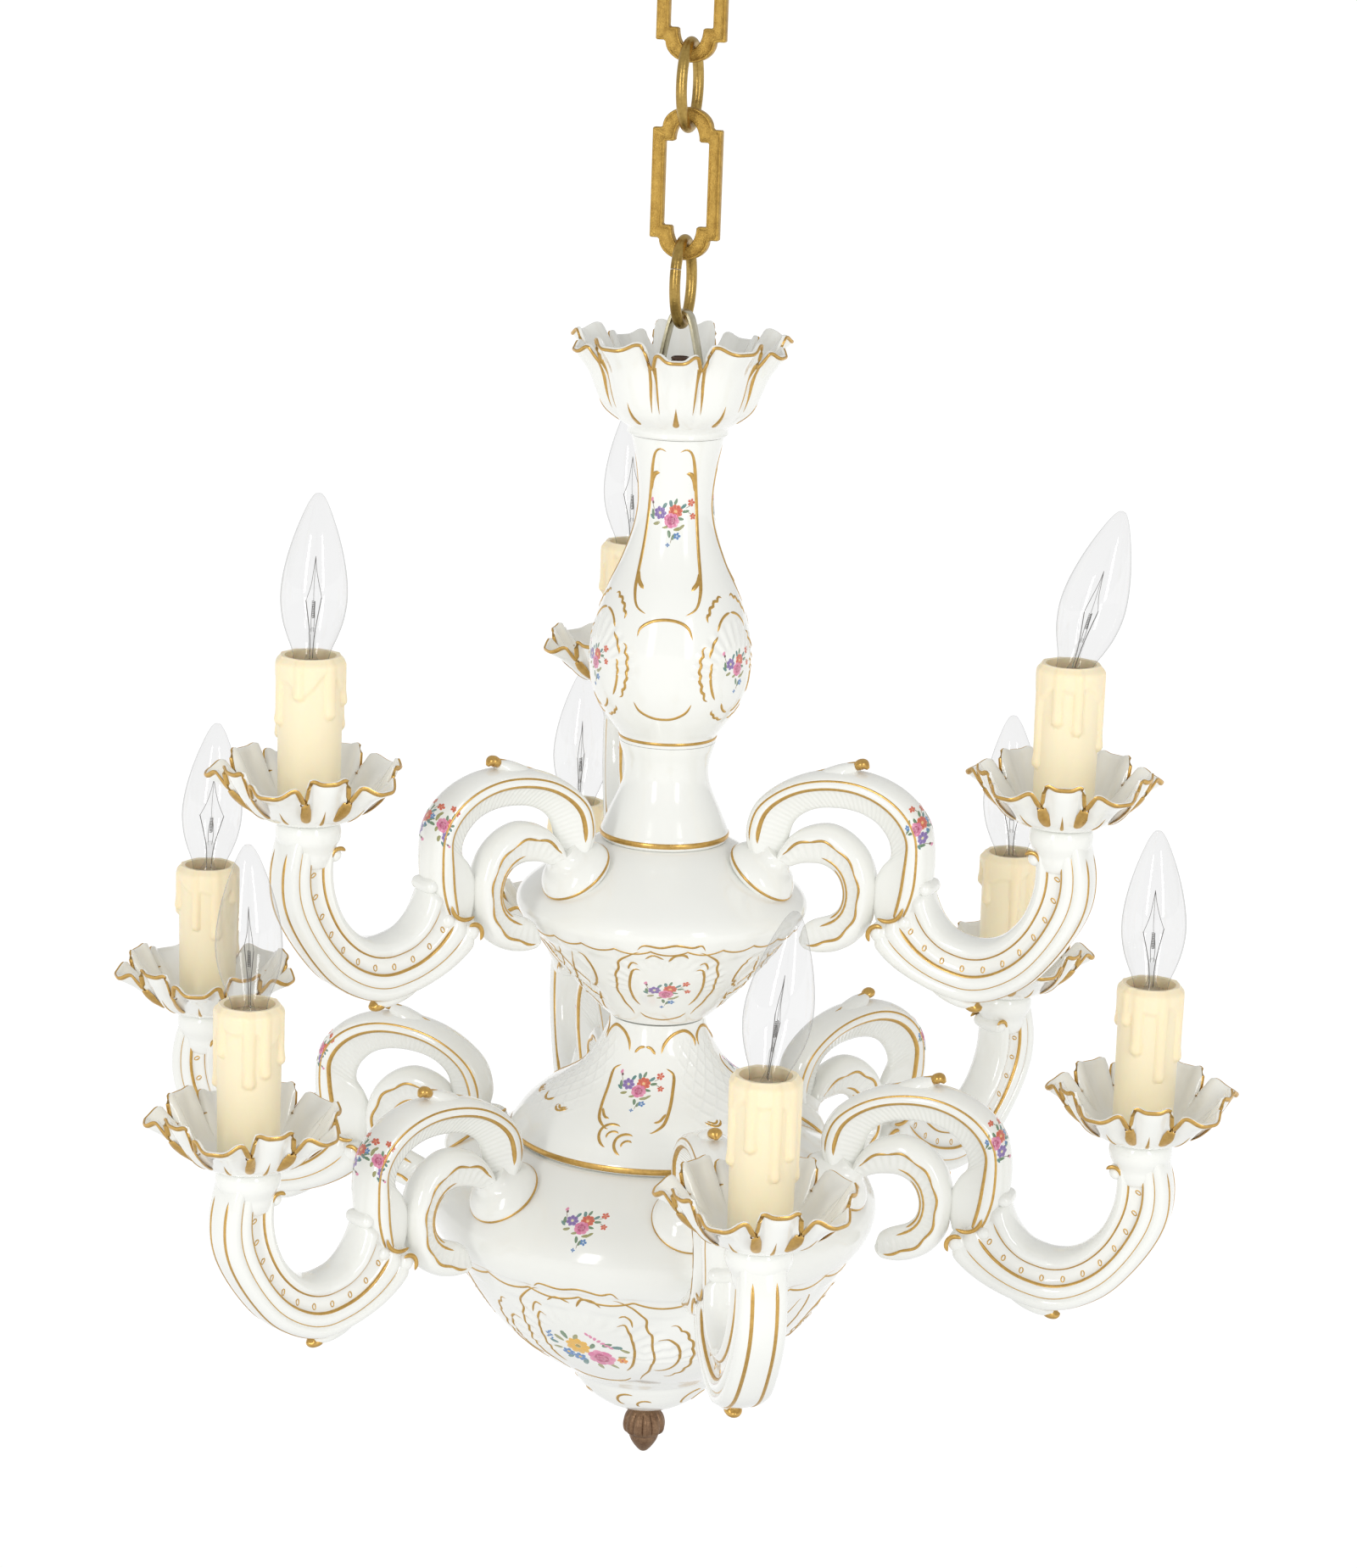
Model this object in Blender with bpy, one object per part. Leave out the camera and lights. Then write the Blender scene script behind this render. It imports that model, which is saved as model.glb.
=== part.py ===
"""Two-tier porcelain chandelier on a brass chain: nine candle arms around a stack of turned porcelain pieces.

Metres, +Z up. The origin is the middle of the ceiling eye's flat top, so the whole object hangs below it.
Dimensions are given in millimetres through MM. Every sub-part is one named object and one closed solid.
"""

import math

import bmesh
import bpy
from mathutils import Matrix, Vector

MM = 0.001
GAP = 0.3          # clearance between pieces that touch
WALL = 4.0         # porcelain wall

# Ceiling eye and chain
EYE_PLATE_RADIUS = 30.0
EYE_PLATE_THICK = 4.0
EYE_WIRE = 2.75            # wire radius of the eye and of both rings
EYE_RADIUS = 12.5          # centreline of the eye
CHAIN_TURN = math.radians(-30.0)   # the links lie in the vertical plane at this azimuth, the rings across it
LINK_SIDE_X = 14.7         # centrelines of a decorative link
LINK_ARCH_X = 10.2
LINK_SHOULDER_Z = 22.5
LINK_ARCH_Z = 24.0
LINK_HALF_WIDTH = 3.25
LINK_HALF_DEPTH = 2.2
RING_HALF_X = 12.75        # centreline of an oval ring
RING_HALF_Z = 20.75
CHAIN_CLEAR = 0.8          # play between a bar and the ring that hangs on it
BAIL_CLEAR = 2.3           # play above the lower ring's bar, which rises towards the bail's edges
RING_SAW_GAP = 0.9         # the lower ring is cut so that it can be opened
RING_SAW_ANGLE = math.radians(160)

# Centre stack, as heights above the upper arms' seat
CROWN_FOOT = 180.0
CROWN_RIM = 52.0           # radius of the crown's rim between its petals' tips and roots
BALUSTER_FOOT = 23.7
NECK_FOOT = -27.3
UPPER_HUB_FOOT = -121.5
SKIRT_FOOT = -186.0
LOWER_HUB_FOOT = -337.0
FINIAL_TIP = -365.0
STEM_TOP = 219.0
BAIL_APEX = 242.5          # outside of the bail's bend
STEM_RADIUS = 4.9
STEM_BORE = 3.6
STEM_HOLE = 5.7            # hole in each piece that the stem passes through
SLIM_SIDES = 16            # baluster, neck and skirt
UPPER_HUB_SIDES = 20
LOWER_HUB_SIDES = 22

# Arms
UPPER_REACH = 212.0        # from the stem's axis to the candle's axis
LOWER_REACH = 257.0
UPPER_SEAT = 6.5           # height of the bobeche seat above the stack's datum
LOWER_SEAT = -154.0
UPPER_ARMS = 3
LOWER_ARMS = 6
LOWER_FIRST = math.radians(-90.0)
UPPER_FIRST = math.radians(-154.8)   # almost above every second lower arm
ARM_HALF_DEPTH = 12.0
ROCAILLE_HALF_DEPTH = 9.0
SEAT_RADIUS = 16.0
NIPPLE_BORE = 5.3          # bore in the arm's cup for the lampholder's nipple
NIPPLE_DEPTH = 16.0

# Bobeche, lampholder, candle sleeve and bulb, as heights above the seat
PETALS = 10
BOBECHE_RIM = 45.5
SLEEVE_FOOT = 3.3
SLEEVE_TOP = 80.0
SLEEVE_RADIUS = 15.8
SLEEVE_BORE = 12.4
HOLDER_RADIUS = 11.2
HOLDER_TOP = 72.0
BULB_RADIUS = 15.9
BULB_TIP = 159.0

# Everything above is measured from the upper arms' seat; the chain sets how far that is below the ceiling.
LINK_OUTER_HALF = LINK_ARCH_Z + LINK_ARCH_X + LINK_HALF_WIDTH
EYE_SINK = 1.5             # how deep the eye's wire sits in the plate
EYE_BAR = -(EYE_PLATE_THICK + 2 * EYE_RADIUS + EYE_WIRE - EYE_SINK)
BAR_TO_LINK_TOP = EYE_WIRE + CHAIN_CLEAR + 2 * LINK_HALF_WIDTH
LINK_UPPER_Z = EYE_BAR + BAR_TO_LINK_TOP - LINK_OUTER_HALF
LINK_TO_RING = LINK_OUTER_HALF - LINK_HALF_WIDTH - (LINK_HALF_WIDTH + CHAIN_CLEAR + EYE_WIRE) + RING_HALF_Z
RING_UPPER_Z = LINK_UPPER_Z - LINK_TO_RING
RING_TO_LINK = RING_HALF_Z - BAR_TO_LINK_TOP + LINK_OUTER_HALF
LINK_LOWER_Z = RING_UPPER_Z - RING_TO_LINK
RING_LOWER_Z = LINK_LOWER_Z - LINK_TO_RING
BAIL_THICK = 2.0
BAIL_TOP_Z = RING_LOWER_Z - RING_HALF_Z + EYE_WIRE + BAIL_CLEAR + BAIL_THICK
DATUM = BAIL_TOP_Z - BAIL_APEX    # world height that the stack's and the seats' heights count from


def clear_scene():
    for obj in list(bpy.data.objects):
        bpy.data.objects.remove(obj)


def material(name, colour, roughness, metallic=0.0, transmission=0.0):
    made = bpy.data.materials.new(name)
    made.use_nodes = True
    shader = made.node_tree.nodes["Principled BSDF"]
    shader.inputs["Base Color"].default_value = (*colour, 1.0)
    shader.inputs["Roughness"].default_value = roughness
    shader.inputs["Metallic"].default_value = metallic
    shader.inputs["Transmission Weight"].default_value = transmission
    made.diffuse_color = (*colour, 1.0)
    return made


def add_mesh(name, bm, finish, parent=None, matrix=None, hidden=False):
    """Makes one object of a bmesh that was drawn in millimetres."""
    bmesh.ops.remove_doubles(bm, verts=bm.verts, dist=0.002)
    bmesh.ops.recalc_face_normals(bm, faces=bm.faces)
    bmesh.ops.scale(bm, vec=(MM, MM, MM), verts=bm.verts)
    mesh = bpy.data.meshes.new(name)
    bm.to_mesh(mesh)
    bm.free()
    mesh.shade_smooth()
    mesh.set_sharp_from_angle(angle=math.radians(40))
    mesh.materials.append(finish)
    obj = bpy.data.objects.new(name, mesh)
    bpy.context.scene.collection.objects.link(obj)
    if parent:
        obj.parent = parent
    if matrix:
        obj.matrix_local = matrix
    if hidden:
        obj.hide_render = True
        obj.display_type = "WIRE"
    return obj


def empty(name, height, turn=0.0):
    made = bpy.data.objects.new(name, None)
    bpy.context.scene.collection.objects.link(made)
    made.location = (0, 0, height * MM)
    made.rotation_euler = (0, 0, turn)
    return made


def boolean(obj, other, operation):
    modifier = obj.modifiers.new(operation.title(), "BOOLEAN")
    modifier.object = other
    modifier.operation = operation
    modifier.solver = "EXACT"


def turned(profile, sides, closed=True):
    """A profile of (radius, height) points spun round Z. A closed profile makes a ring, an open one ends on the axis."""
    bm = bmesh.new()
    verts = [bm.verts.new((r, 0, z)) for r, z in profile]
    pairs = list(zip(verts, verts[1:]))
    if closed:
        pairs.append((verts[-1], verts[0]))
    edges = [bm.edges.new(pair) for pair in pairs]
    bmesh.ops.spin(
        bm, geom=verts + edges, cent=(0, 0, 0), axis=(0, 0, 1), angle=2 * math.pi,
        steps=sides, use_merge=True, use_duplicate=False)
    return bm


def tube_through(rings, closed):
    """Quads between rings of points, with a cap at each end unless the rings close on themselves."""
    bm = bmesh.new()
    made = [[bm.verts.new(p) for p in ring] for ring in rings]
    following = made[1:] + ([made[0]] if closed else [])
    for first, second in zip(made, following):
        for i in range(len(first)):
            j = (i + 1) % len(first)
            bm.faces.new((first[i], first[j], second[j], second[i]))
    if not closed:
        bm.faces.new(made[0][::-1])
        bm.faces.new(made[-1])
    return bm


def band_section(half_width, half_depth):
    """Six points of a rounded bar: (across the path, out of its plane). Its narrow faces are flat."""
    w, d = half_width, half_depth
    return [(w, -0.55 * d), (w, 0.55 * d), (0, d), (-w, 0.55 * d), (-w, -0.55 * d), (0, -d)]


def flat_section(half_width, half_depth):
    w, d = half_width, half_depth
    return [(w, -d), (w, d), (-w, d), (-w, -d)]


def round_section(radius, sides=6):
    return [(radius * math.cos(2 * math.pi * i / sides), radius * math.sin(2 * math.pi * i / sides))
            for i in range(sides)]


def swept(path, sections, closed):
    """Carries a section along a path in the XZ plane. Corners are mitred."""
    rings = []
    count = len(path)
    for i, (x, z) in enumerate(path):
        here = Vector((x, z))
        before = Vector(path[i - 1]) if closed or i else None
        after = Vector(path[(i + 1) % count]) if closed or i < count - 1 else None
        into = (here - before).normalized() if before else (after - here).normalized()
        out = (after - here).normalized() if after else into
        along = (into + out).normalized()
        side = Vector((-along.y, along.x))
        stretch = 1.0 / max(0.5, along.dot(into))
        rings.append([(x + side.x * w * stretch, d, z + side.y * w * stretch) for w, d in sections[i]])
    return tube_through(rings, closed)


def link_path():
    """Centreline of a decorative link: straight sides, a cut shoulder at each corner and an arch at each end."""
    steps = 6
    arch_start = math.radians(20)
    arch_turn = math.pi - 2 * arch_start
    angles = [arch_start + arch_turn * i / steps for i in range(steps + 1)]
    arch = [(LINK_ARCH_X * math.cos(a), LINK_ARCH_Z + LINK_ARCH_X * math.sin(a)) for a in angles]
    top = [(LINK_SIDE_X, LINK_SHOULDER_Z)] + arch + [(-LINK_SIDE_X, LINK_SHOULDER_Z)]
    return top + [(-x, -z) for x, z in top]


def chain_link(name, height, finish):
    path = link_path()
    section = flat_section(LINK_HALF_WIDTH, LINK_HALF_DEPTH)
    add_mesh(name, swept(path, [section] * len(path), True), finish, empty(name + "_place", height, CHAIN_TURN))


def chain_ring(name, height, finish, saw_gap=0.0):
    """An oval wire ring, across the links. A saw gap opens one side of it."""
    steps = 20
    half_gap = saw_gap / (2 * RING_HALF_Z)
    start = RING_SAW_ANGLE + half_gap if saw_gap else 0.0
    turn = 2 * math.pi - 2 * half_gap
    stations = steps + 1 if saw_gap else steps
    angles = [start + turn * i / steps for i in range(stations)]
    path = [(RING_HALF_X * math.cos(a), RING_HALF_Z * math.sin(a)) for a in angles]
    bm = swept(path, [round_section(EYE_WIRE)] * stations, not saw_gap)
    add_mesh(name, bm, finish, empty(name + "_place", height, CHAIN_TURN + math.pi / 2))


def ceiling_eye(finish):
    """A plate that lies flat on the ceiling, with a wire eye under it."""
    plate = turned([(0, 0), (EYE_PLATE_RADIUS, 0), (EYE_PLATE_RADIUS, -1.0),
                    (EYE_WIRE * 2, -EYE_PLATE_THICK), (0, -EYE_PLATE_THICK)], 20, closed=False)
    plate = add_mesh("ceiling_eye", plate, finish)
    steps = 14
    circle = [(EYE_RADIUS * math.cos(2 * math.pi * i / steps), EYE_RADIUS * math.sin(2 * math.pi * i / steps))
              for i in range(steps)]
    eye = swept(circle, [round_section(EYE_WIRE)] * steps, True)
    place = empty("eye_place", EYE_BAR + EYE_RADIUS, CHAIN_TURN + math.pi / 2)
    eye = add_mesh("eye_ring_tool", eye, finish, place, hidden=True)
    boolean(plate, eye, "UNION")


def hanging_bail(finish, place):
    """A steel strap bent to an inverted V, its feet welded to a washer that the stem passes through."""
    half_width = 3.8
    washer_top = CROWN_FOOT + 8.5
    legs = [(15.2, washer_top - 1.2), (10.2, 215.0), (5.5, BAIL_APEX - 6.0), (3.7, BAIL_APEX - 2.3),
            (0.0, BAIL_APEX - 1.0)]
    path = legs + [(-x, z) for x, z in reversed(legs[:-1])]
    section = flat_section(BAIL_THICK / 2, half_width)
    strap = swept(path, [section] * len(path), False)
    strap = add_mesh("hanging_bail", strap, finish, place, Matrix.Rotation(CHAIN_TURN, 4, "Z"))
    washer = turned([(STEM_HOLE, washer_top - 2.2), (18.0, washer_top - 2.2), (18.0, washer_top),
                     (STEM_HOLE, washer_top)], 16)
    washer = add_mesh("bail_washer_tool", washer, finish, place, hidden=True)
    boolean(strap, washer, "UNION")


def stem(finish, place):
    """The threaded tube that holds the stack together, and the hexagonal nut above the bail."""
    bottom = LOWER_HUB_FOOT - 9.0
    tube = turned([(STEM_BORE, bottom), (STEM_RADIUS, bottom), (STEM_RADIUS, STEM_TOP), (STEM_BORE, STEM_TOP)], 12)
    add_mesh("stem_tube", tube, finish, place)
    foot = CROWN_FOOT + 8.5 + GAP
    nut = turned([(6.1, foot), (8.1, foot), (8.1, foot + 6), (6.1, foot + 6)], 6)
    add_mesh("stem_locknut", nut, finish, place)


def shell(outer, foot_floor, top_floor):
    """Closed profile of a hollow turned piece: its outside from foot to top, then a plainer cavity inside it."""
    first, last = outer[0][1], outer[-1][1]
    inside = [(r - WALL, min(max(z, first + foot_floor), last - top_floor)) for r, z in outer[::2]]
    inside = [(max(r, STEM_HOLE + 3.0), z) for r, z in inside]
    profile = [(STEM_HOLE, first)] + outer + [(STEM_HOLE, last), (STEM_HOLE, last - top_floor)]
    return profile + inside[::-1] + [(STEM_HOLE, first + foot_floor)]


def column(name, outer, finish, place, sides=SLIM_SIDES):
    add_mesh(name, turned(shell(outer, WALL, WALL), sides), finish, place)


BALUSTER = [(24.7, BALUSTER_FOOT), (27.5, 31.0), (37.5, 48.0), (40.5, 66.0), (38.0, 85.0), (30.5, 107.0),
            (21.8, 129.0), (18.6, 150.0), (23.0, CROWN_FOOT - GAP)]
NECK = [(32.4, NECK_FOOT), (32.4, -23.0), (26.0, -8.0), (21.3, 8.0), (24.6, BALUSTER_FOOT - GAP)]
UPPER_DOME = [(72.0, -69.5), (74.6, -62.0), (69.0, -52.5), (51.0, -38.0), (33.5, NECK_FOOT - GAP)]
UPPER_HUB = [(24.1, UPPER_HUB_FOOT), (45.0, -102.5), (61.0, -83.5)] + UPPER_DOME
SKIRT = [(74.3, SKIRT_FOOT), (74.3, -180.5), (62.0, -166.0), (40.0, -152.0), (29.5, -137.5),
         (24.2, UPPER_HUB_FOOT - GAP)]
LOWER_DOME = [(113.5, -234.5), (117.2, -224.0), (113.5, -212.0), (98.0, -198.3), (75.6, SKIRT_FOOT - GAP)]
LOWER_HUB = [(11.4, LOWER_HUB_FOOT), (25.0, -332.0), (39.0, -315.0), (64.0, -297.8), (87.0, -275.5),
             (103.0, -249.5)] + LOWER_DOME


def dome_cutter(name, dome, sides, finish, place):
    """The space that a hub's dome takes up, a gap larger than the dome: it shapes the foot of each arm."""
    grown = [(r + GAP, z + GAP) for r, z in dome]
    profile = [(0, grown[0][1])] + grown + [(0, grown[-1][1])]
    return add_mesh(name, turned(profile, sides, closed=False), finish, place, hidden=True)


def leaf_cup(foot_radius, foot, belly, rim, petal_lift, sides_per_petal, hole):
    """A leafed cup: a turned bowl whose rim rises and spreads in petals. belly is [(radius, height), ...]."""
    sides = PETALS * sides_per_petal
    wall = 3.0
    levels = [(foot_radius, foot, 0.0)] + [(r, z, 0.35 * (i + 1) / len(belly)) for i, (r, z) in enumerate(belly)]
    levels.append((*rim, 1.0))
    rings = []
    for i in range(sides):
        angle = 2 * math.pi * i / sides
        wave = math.cos(PETALS * angle)
        outer = []
        inner = []
        for r, z, share in levels:
            spread = 1 + 0.05 * wave * share
            outer.append((r * spread, z + petal_lift * wave * share))
            lift = wall * (1 - 0.5 * share)
            inner.append((r * spread - lift, z + petal_lift * wave * share + lift))
        loop = [(hole, foot)] + outer + inner[-2::-1] + [(hole, foot + wall)]
        rings.append([(r * math.cos(angle), r * math.sin(angle), z) for r, z in loop])
    return tube_through(rings, True)


def crown(finish, place):
    belly = [(38.5, 196.0), (44.5, 209.0)]
    bm = leaf_cup(25.5, CROWN_FOOT + GAP, belly, (CROWN_RIM, 227.0), 5.0, 2, STEM_HOLE)
    add_mesh("crown", bm, finish, place)


def finial(finish, place):
    top = LOWER_HUB_FOOT - GAP
    profile = [(0, FINIAL_TIP), (7.6, FINIAL_TIP + 11.0), (11.2, FINIAL_TIP + 15.0), (9.0, FINIAL_TIP + 23.5),
               (6.6, top), (STEM_RADIUS + GAP, top), (STEM_RADIUS + GAP, top - 10.0), (0, top - 10.0)]
    add_mesh("finial", turned(profile, 12, closed=False), finish, place)


# Arm outline in its own plane: x outward from the candle's axis, z up from the seat, then the half width of the band.
ARM_SPINE = [(0.0, -9.0, 11.8), (3.2, -28.0, 14.0), (-3.0, -51.0, 13.6), (-17.0, -68.5, 13.8),
             (-39.0, -79.0, 14.8), (-62.0, -74.5, 15.4), (-77.5, -58.0, 16.0), (-81.0, -37.5, 14.6),
             (-83.0, -9.0, 11.2), (-107.0, 3.0, 10.3), (-130.0, 1.0, 9.9), (-148.5, -11.0, 10.4),
             (-156.0, -36.5, 12.0)]
ROCAILLE_SPINE = [(-147.0, -37.0, 6.8), (-131.0, -27.5, 9.6), (-113.0, -29.5, 10.6), (-104.5, -48.0, 8.8),
                  (-110.5, -68.0, 9.2), (-129.0, -74.0, 7.7)]
BOSS_CENTRE = (-158.5, -47.0)
BOSS_TILT = math.radians(39.0)    # from vertical, outward, which is square to both domes


def band(spine, half_depth):
    path = [(x, z) for x, z, _ in spine]
    sections = [band_section(w, half_depth) for _, _, w in spine]
    return swept(path, sections, False)


def arm_shape(name, finish, place, dome):
    """One porcelain arm: an S-shaped band with a small C scroll, a cup on its free end and a boss on the hub."""
    body = add_mesh(name, band(ARM_SPINE, ARM_HALF_DEPTH), finish, place)
    scroll = add_mesh(name + "_scroll_tool", band(ROCAILLE_SPINE, ROCAILLE_HALF_DEPTH), finish, place, hidden=True)
    boolean(body, scroll, "UNION")
    cup = turned([(0, -NIPPLE_DEPTH - 4.0), (11.6, -15.0), (SEAT_RADIUS, -5.0), (SEAT_RADIUS, -GAP), (0, -GAP)],
                 10, closed=False)
    cup = add_mesh(name + "_cup_tool", cup, finish, place, hidden=True)
    boolean(body, cup, "UNION")
    boss = turned([(0, 14.0), (12.0, 12.0), (18.5, 4.0), (18.5, 0.0), (0, -4.0)], 10, closed=False)
    tilt = Matrix.Translation(Vector((BOSS_CENTRE[0], 0, BOSS_CENTRE[1])) * MM) @ Matrix.Rotation(BOSS_TILT, 4, "Y")
    boss = add_mesh(name + "_boss_tool", boss, finish, place, tilt, hidden=True)
    boolean(body, boss, "UNION")
    bore = turned([(0, -NIPPLE_DEPTH), (NIPPLE_BORE, -NIPPLE_DEPTH), (NIPPLE_BORE, 5.0), (0, 5.0)], 8, closed=False)
    bore = add_mesh(name + "_bore_tool", bore, finish, place, hidden=True)
    boolean(body, bore, "DIFFERENCE")
    boolean(body, dome, "DIFFERENCE")


def bobeche(name, finish, place):
    belly = [(34.0, 9.0)]
    bm = leaf_cup(18.0, 0.0, belly, (BOBECHE_RIM, 28.0), 4.0, 2, NIPPLE_BORE)
    add_mesh(name, bm, finish, place)


def lampholder(name, finish, place):
    """Turned holder: a nipple down through the bobeche into the arm, a flange, and a deep socket for the bulb."""
    nipple = NIPPLE_BORE - 0.6
    foot = 3.0 + GAP
    profile = [(0, -NIPPLE_DEPTH + 4), (nipple, -NIPPLE_DEPTH + 4), (nipple, foot), (HOLDER_RADIUS, foot),
               (HOLDER_RADIUS, HOLDER_TOP), (7.6, HOLDER_TOP), (7.6, HOLDER_TOP - 27.0), (0, HOLDER_TOP - 27.0)]
    add_mesh(name, turned(profile, 8, closed=False), finish, place)


def candle_sleeve(name, finish, place):
    """Wax-drip sleeve that slips over the lampholder and stands on the bobeche's floor."""
    profile = [(SLEEVE_BORE, SLEEVE_FOOT), (15.0, SLEEVE_FOOT), (SLEEVE_RADIUS, 46.0), (17.6, 57.0),
               (16.2, SLEEVE_TOP), (SLEEVE_BORE, SLEEVE_TOP)]
    add_mesh(name, turned(profile, 10), finish, place)


def bulb(name, finish, place):
    """Torpedo lamp with its screw base, as one solid."""
    foot = HOLDER_TOP - 26.0
    profile = [(0, foot), (6.3, foot), (6.3, 70.0), (13.0, 92.0), (BULB_RADIUS, 110.0), (12.6, 134.0),
               (3.0, 156.5), (0, BULB_TIP)]
    add_mesh(name, turned(profile, 10, closed=False), finish, place)


def light(index, tier, reach, seat, azimuth, dome, finishes):
    """One complete arm: the casting, its bobeche, lampholder, sleeve and bulb."""
    turn = Matrix.Rotation(azimuth, 4, "Z") @ Matrix.Translation(Vector((reach, 0, 0)) * MM)
    place = bpy.data.objects.new(f"{tier}_light_{index}_place", None)
    bpy.context.scene.collection.objects.link(place)
    place.matrix_world = Matrix.Translation(Vector((0, 0, DATUM + seat)) * MM) @ turn
    label = f"{tier}_{index}"
    arm_shape(f"arm_{label}", finishes["porcelain"], place, dome)
    bobeche(f"bobeche_{label}", finishes["porcelain"], place)
    lampholder(f"lampholder_{label}", finishes["bakelite"], place)
    candle_sleeve(f"candle_sleeve_{label}", finishes["wax"], place)
    bulb(f"bulb_{label}", finishes["glass"], place)


def main():
    clear_scene()
    finishes = {
        "porcelain": material("porcelain", (0.93, 0.93, 0.91), 0.12),
        "brass": material("brass", (0.62, 0.42, 0.14), 0.35, 1.0),
        "bronze": material("bronze", (0.26, 0.17, 0.10), 0.5, 1.0),
        "steel": material("steel", (0.62, 0.60, 0.52), 0.35, 1.0),
        "bakelite": material("bakelite", (0.20, 0.09, 0.05), 0.4),
        "wax": material("wax", (0.95, 0.83, 0.60), 0.55),
        "glass": material("glass", (0.95, 0.96, 0.96), 0.03, 0.0, 1.0),
    }
    ceiling_eye(finishes["brass"])
    chain_link("chain_link_upper", LINK_UPPER_Z, finishes["brass"])
    chain_ring("chain_ring_upper", RING_UPPER_Z, finishes["brass"])
    chain_link("chain_link_lower", LINK_LOWER_Z, finishes["brass"])
    chain_ring("chain_ring_lower", RING_LOWER_Z, finishes["brass"], RING_SAW_GAP)
    stack = empty("stack_place", DATUM)
    hanging_bail(finishes["steel"], stack)
    stem(finishes["steel"], stack)
    crown(finishes["porcelain"], stack)
    column("baluster", BALUSTER, finishes["porcelain"], stack)
    column("neck", NECK, finishes["porcelain"], stack)
    column("upper_hub", UPPER_HUB, finishes["porcelain"], stack, UPPER_HUB_SIDES)
    column("skirt", SKIRT, finishes["porcelain"], stack)
    column("lower_hub", LOWER_HUB, finishes["porcelain"], stack, LOWER_HUB_SIDES)
    finial(finishes["bronze"], stack)
    upper_dome = dome_cutter("upper_dome_tool", UPPER_DOME, UPPER_HUB_SIDES, finishes["porcelain"], stack)
    lower_dome = dome_cutter("lower_dome_tool", LOWER_DOME, LOWER_HUB_SIDES, finishes["porcelain"], stack)
    for i in range(UPPER_ARMS):
        azimuth = UPPER_FIRST + 2 * math.pi * i / UPPER_ARMS
        light(i + 1, "upper", UPPER_REACH, UPPER_SEAT, azimuth, upper_dome, finishes)
    for i in range(LOWER_ARMS):
        azimuth = LOWER_FIRST + 2 * math.pi * i / LOWER_ARMS
        light(i + 1, "lower", LOWER_REACH, LOWER_SEAT, azimuth, lower_dome, finishes)
    bpy.context.view_layer.update()


main()
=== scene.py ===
"""The looks of a two-tier porcelain chandelier: glazed white castings, hand-laid gilding, painted bouquets,
wax-drip candles with clear bulbs, and a cast brass chain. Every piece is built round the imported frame.
Lengths are in millimetres. Heights on the centre stack count from 365 mm above the finial's tip, and those
on an arm from its bobeche's seat, unless a name says otherwise."""
import math

import bmesh
import bpy
import numpy as np
from mathutils import Matrix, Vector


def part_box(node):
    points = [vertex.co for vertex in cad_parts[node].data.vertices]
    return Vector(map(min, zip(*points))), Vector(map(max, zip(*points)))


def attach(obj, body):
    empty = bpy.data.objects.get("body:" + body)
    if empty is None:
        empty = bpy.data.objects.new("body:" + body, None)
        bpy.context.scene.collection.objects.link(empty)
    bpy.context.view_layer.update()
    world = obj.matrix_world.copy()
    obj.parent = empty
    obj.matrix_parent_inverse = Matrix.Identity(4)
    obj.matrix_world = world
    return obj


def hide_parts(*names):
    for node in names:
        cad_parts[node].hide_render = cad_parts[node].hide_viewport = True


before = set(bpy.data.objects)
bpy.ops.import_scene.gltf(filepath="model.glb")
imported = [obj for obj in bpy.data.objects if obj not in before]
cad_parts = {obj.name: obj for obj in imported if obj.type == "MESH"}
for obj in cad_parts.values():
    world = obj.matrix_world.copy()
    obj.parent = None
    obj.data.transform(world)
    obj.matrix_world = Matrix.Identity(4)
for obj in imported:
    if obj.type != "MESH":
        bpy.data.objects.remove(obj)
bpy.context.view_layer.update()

MM = 0.001
TAU = 2 * math.pi
WELD = 2e-6                                 # points nearer than this, in metres, are one
BORE = 5.7                                  # radius of the hole through every piece of the stack

BODY = "chandelier"
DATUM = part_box("finial")[0][2] + 0.365      # world height, in metres, that the stack's heights count from
LIGHTS = [f"upper_{i}" for i in (1, 2, 3)] + [f"lower_{i}" for i in range(1, 7)]
VIEW_AZIMUTH = math.radians(258.8)          # direction in which the camera stands, seen from the stem


# ---------------------------------------------------------------------------------------------------------
# Curves, surfaces and meshes


def unit(vectors):
    return vectors / np.maximum(np.linalg.norm(vectors, axis=-1, keepdims=True), 1e-9)


def smooth(low, high, value):
    """0 below low, 1 above high, and a cubic ease between them."""
    t = np.clip((value - low) / (high - low), 0, 1)
    return t * t * (3 - 2 * t)


def knots(points, per_span):
    """Catmull-Rom curve with per_span steps to each span, so that point k lands on index k * per_span."""
    points = np.asarray(points, float)
    count = len(points)
    spans = np.arange(count - 1)
    a, b, c, d = (points[np.clip(spans + shift, 0, count - 1)][:, None] for shift in (-1, 0, 1, 2))
    t = (np.arange(per_span) / per_span)[None, :, None]
    square, cube = 2 * a - 5 * b + 4 * c - d, 3 * b - a - 3 * c + d
    curve = 0.5 * (2 * b + (c - a) * t + square * t ** 2 + cube * t ** 3)
    return np.vstack([curve.reshape(-1, points.shape[1]), points[-1:]])


def run_length(curve):
    return np.concatenate([[0], np.cumsum(np.linalg.norm(np.diff(curve, axis=0), axis=1))])


def spline(points, count):
    """The same curve with count points, evenly spaced by length."""
    curve = knots(points, 16)
    length = run_length(curve)
    where = np.linspace(0, length[-1], count)
    return np.stack([np.interp(where, length, column) for column in curve.T], 1)


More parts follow.
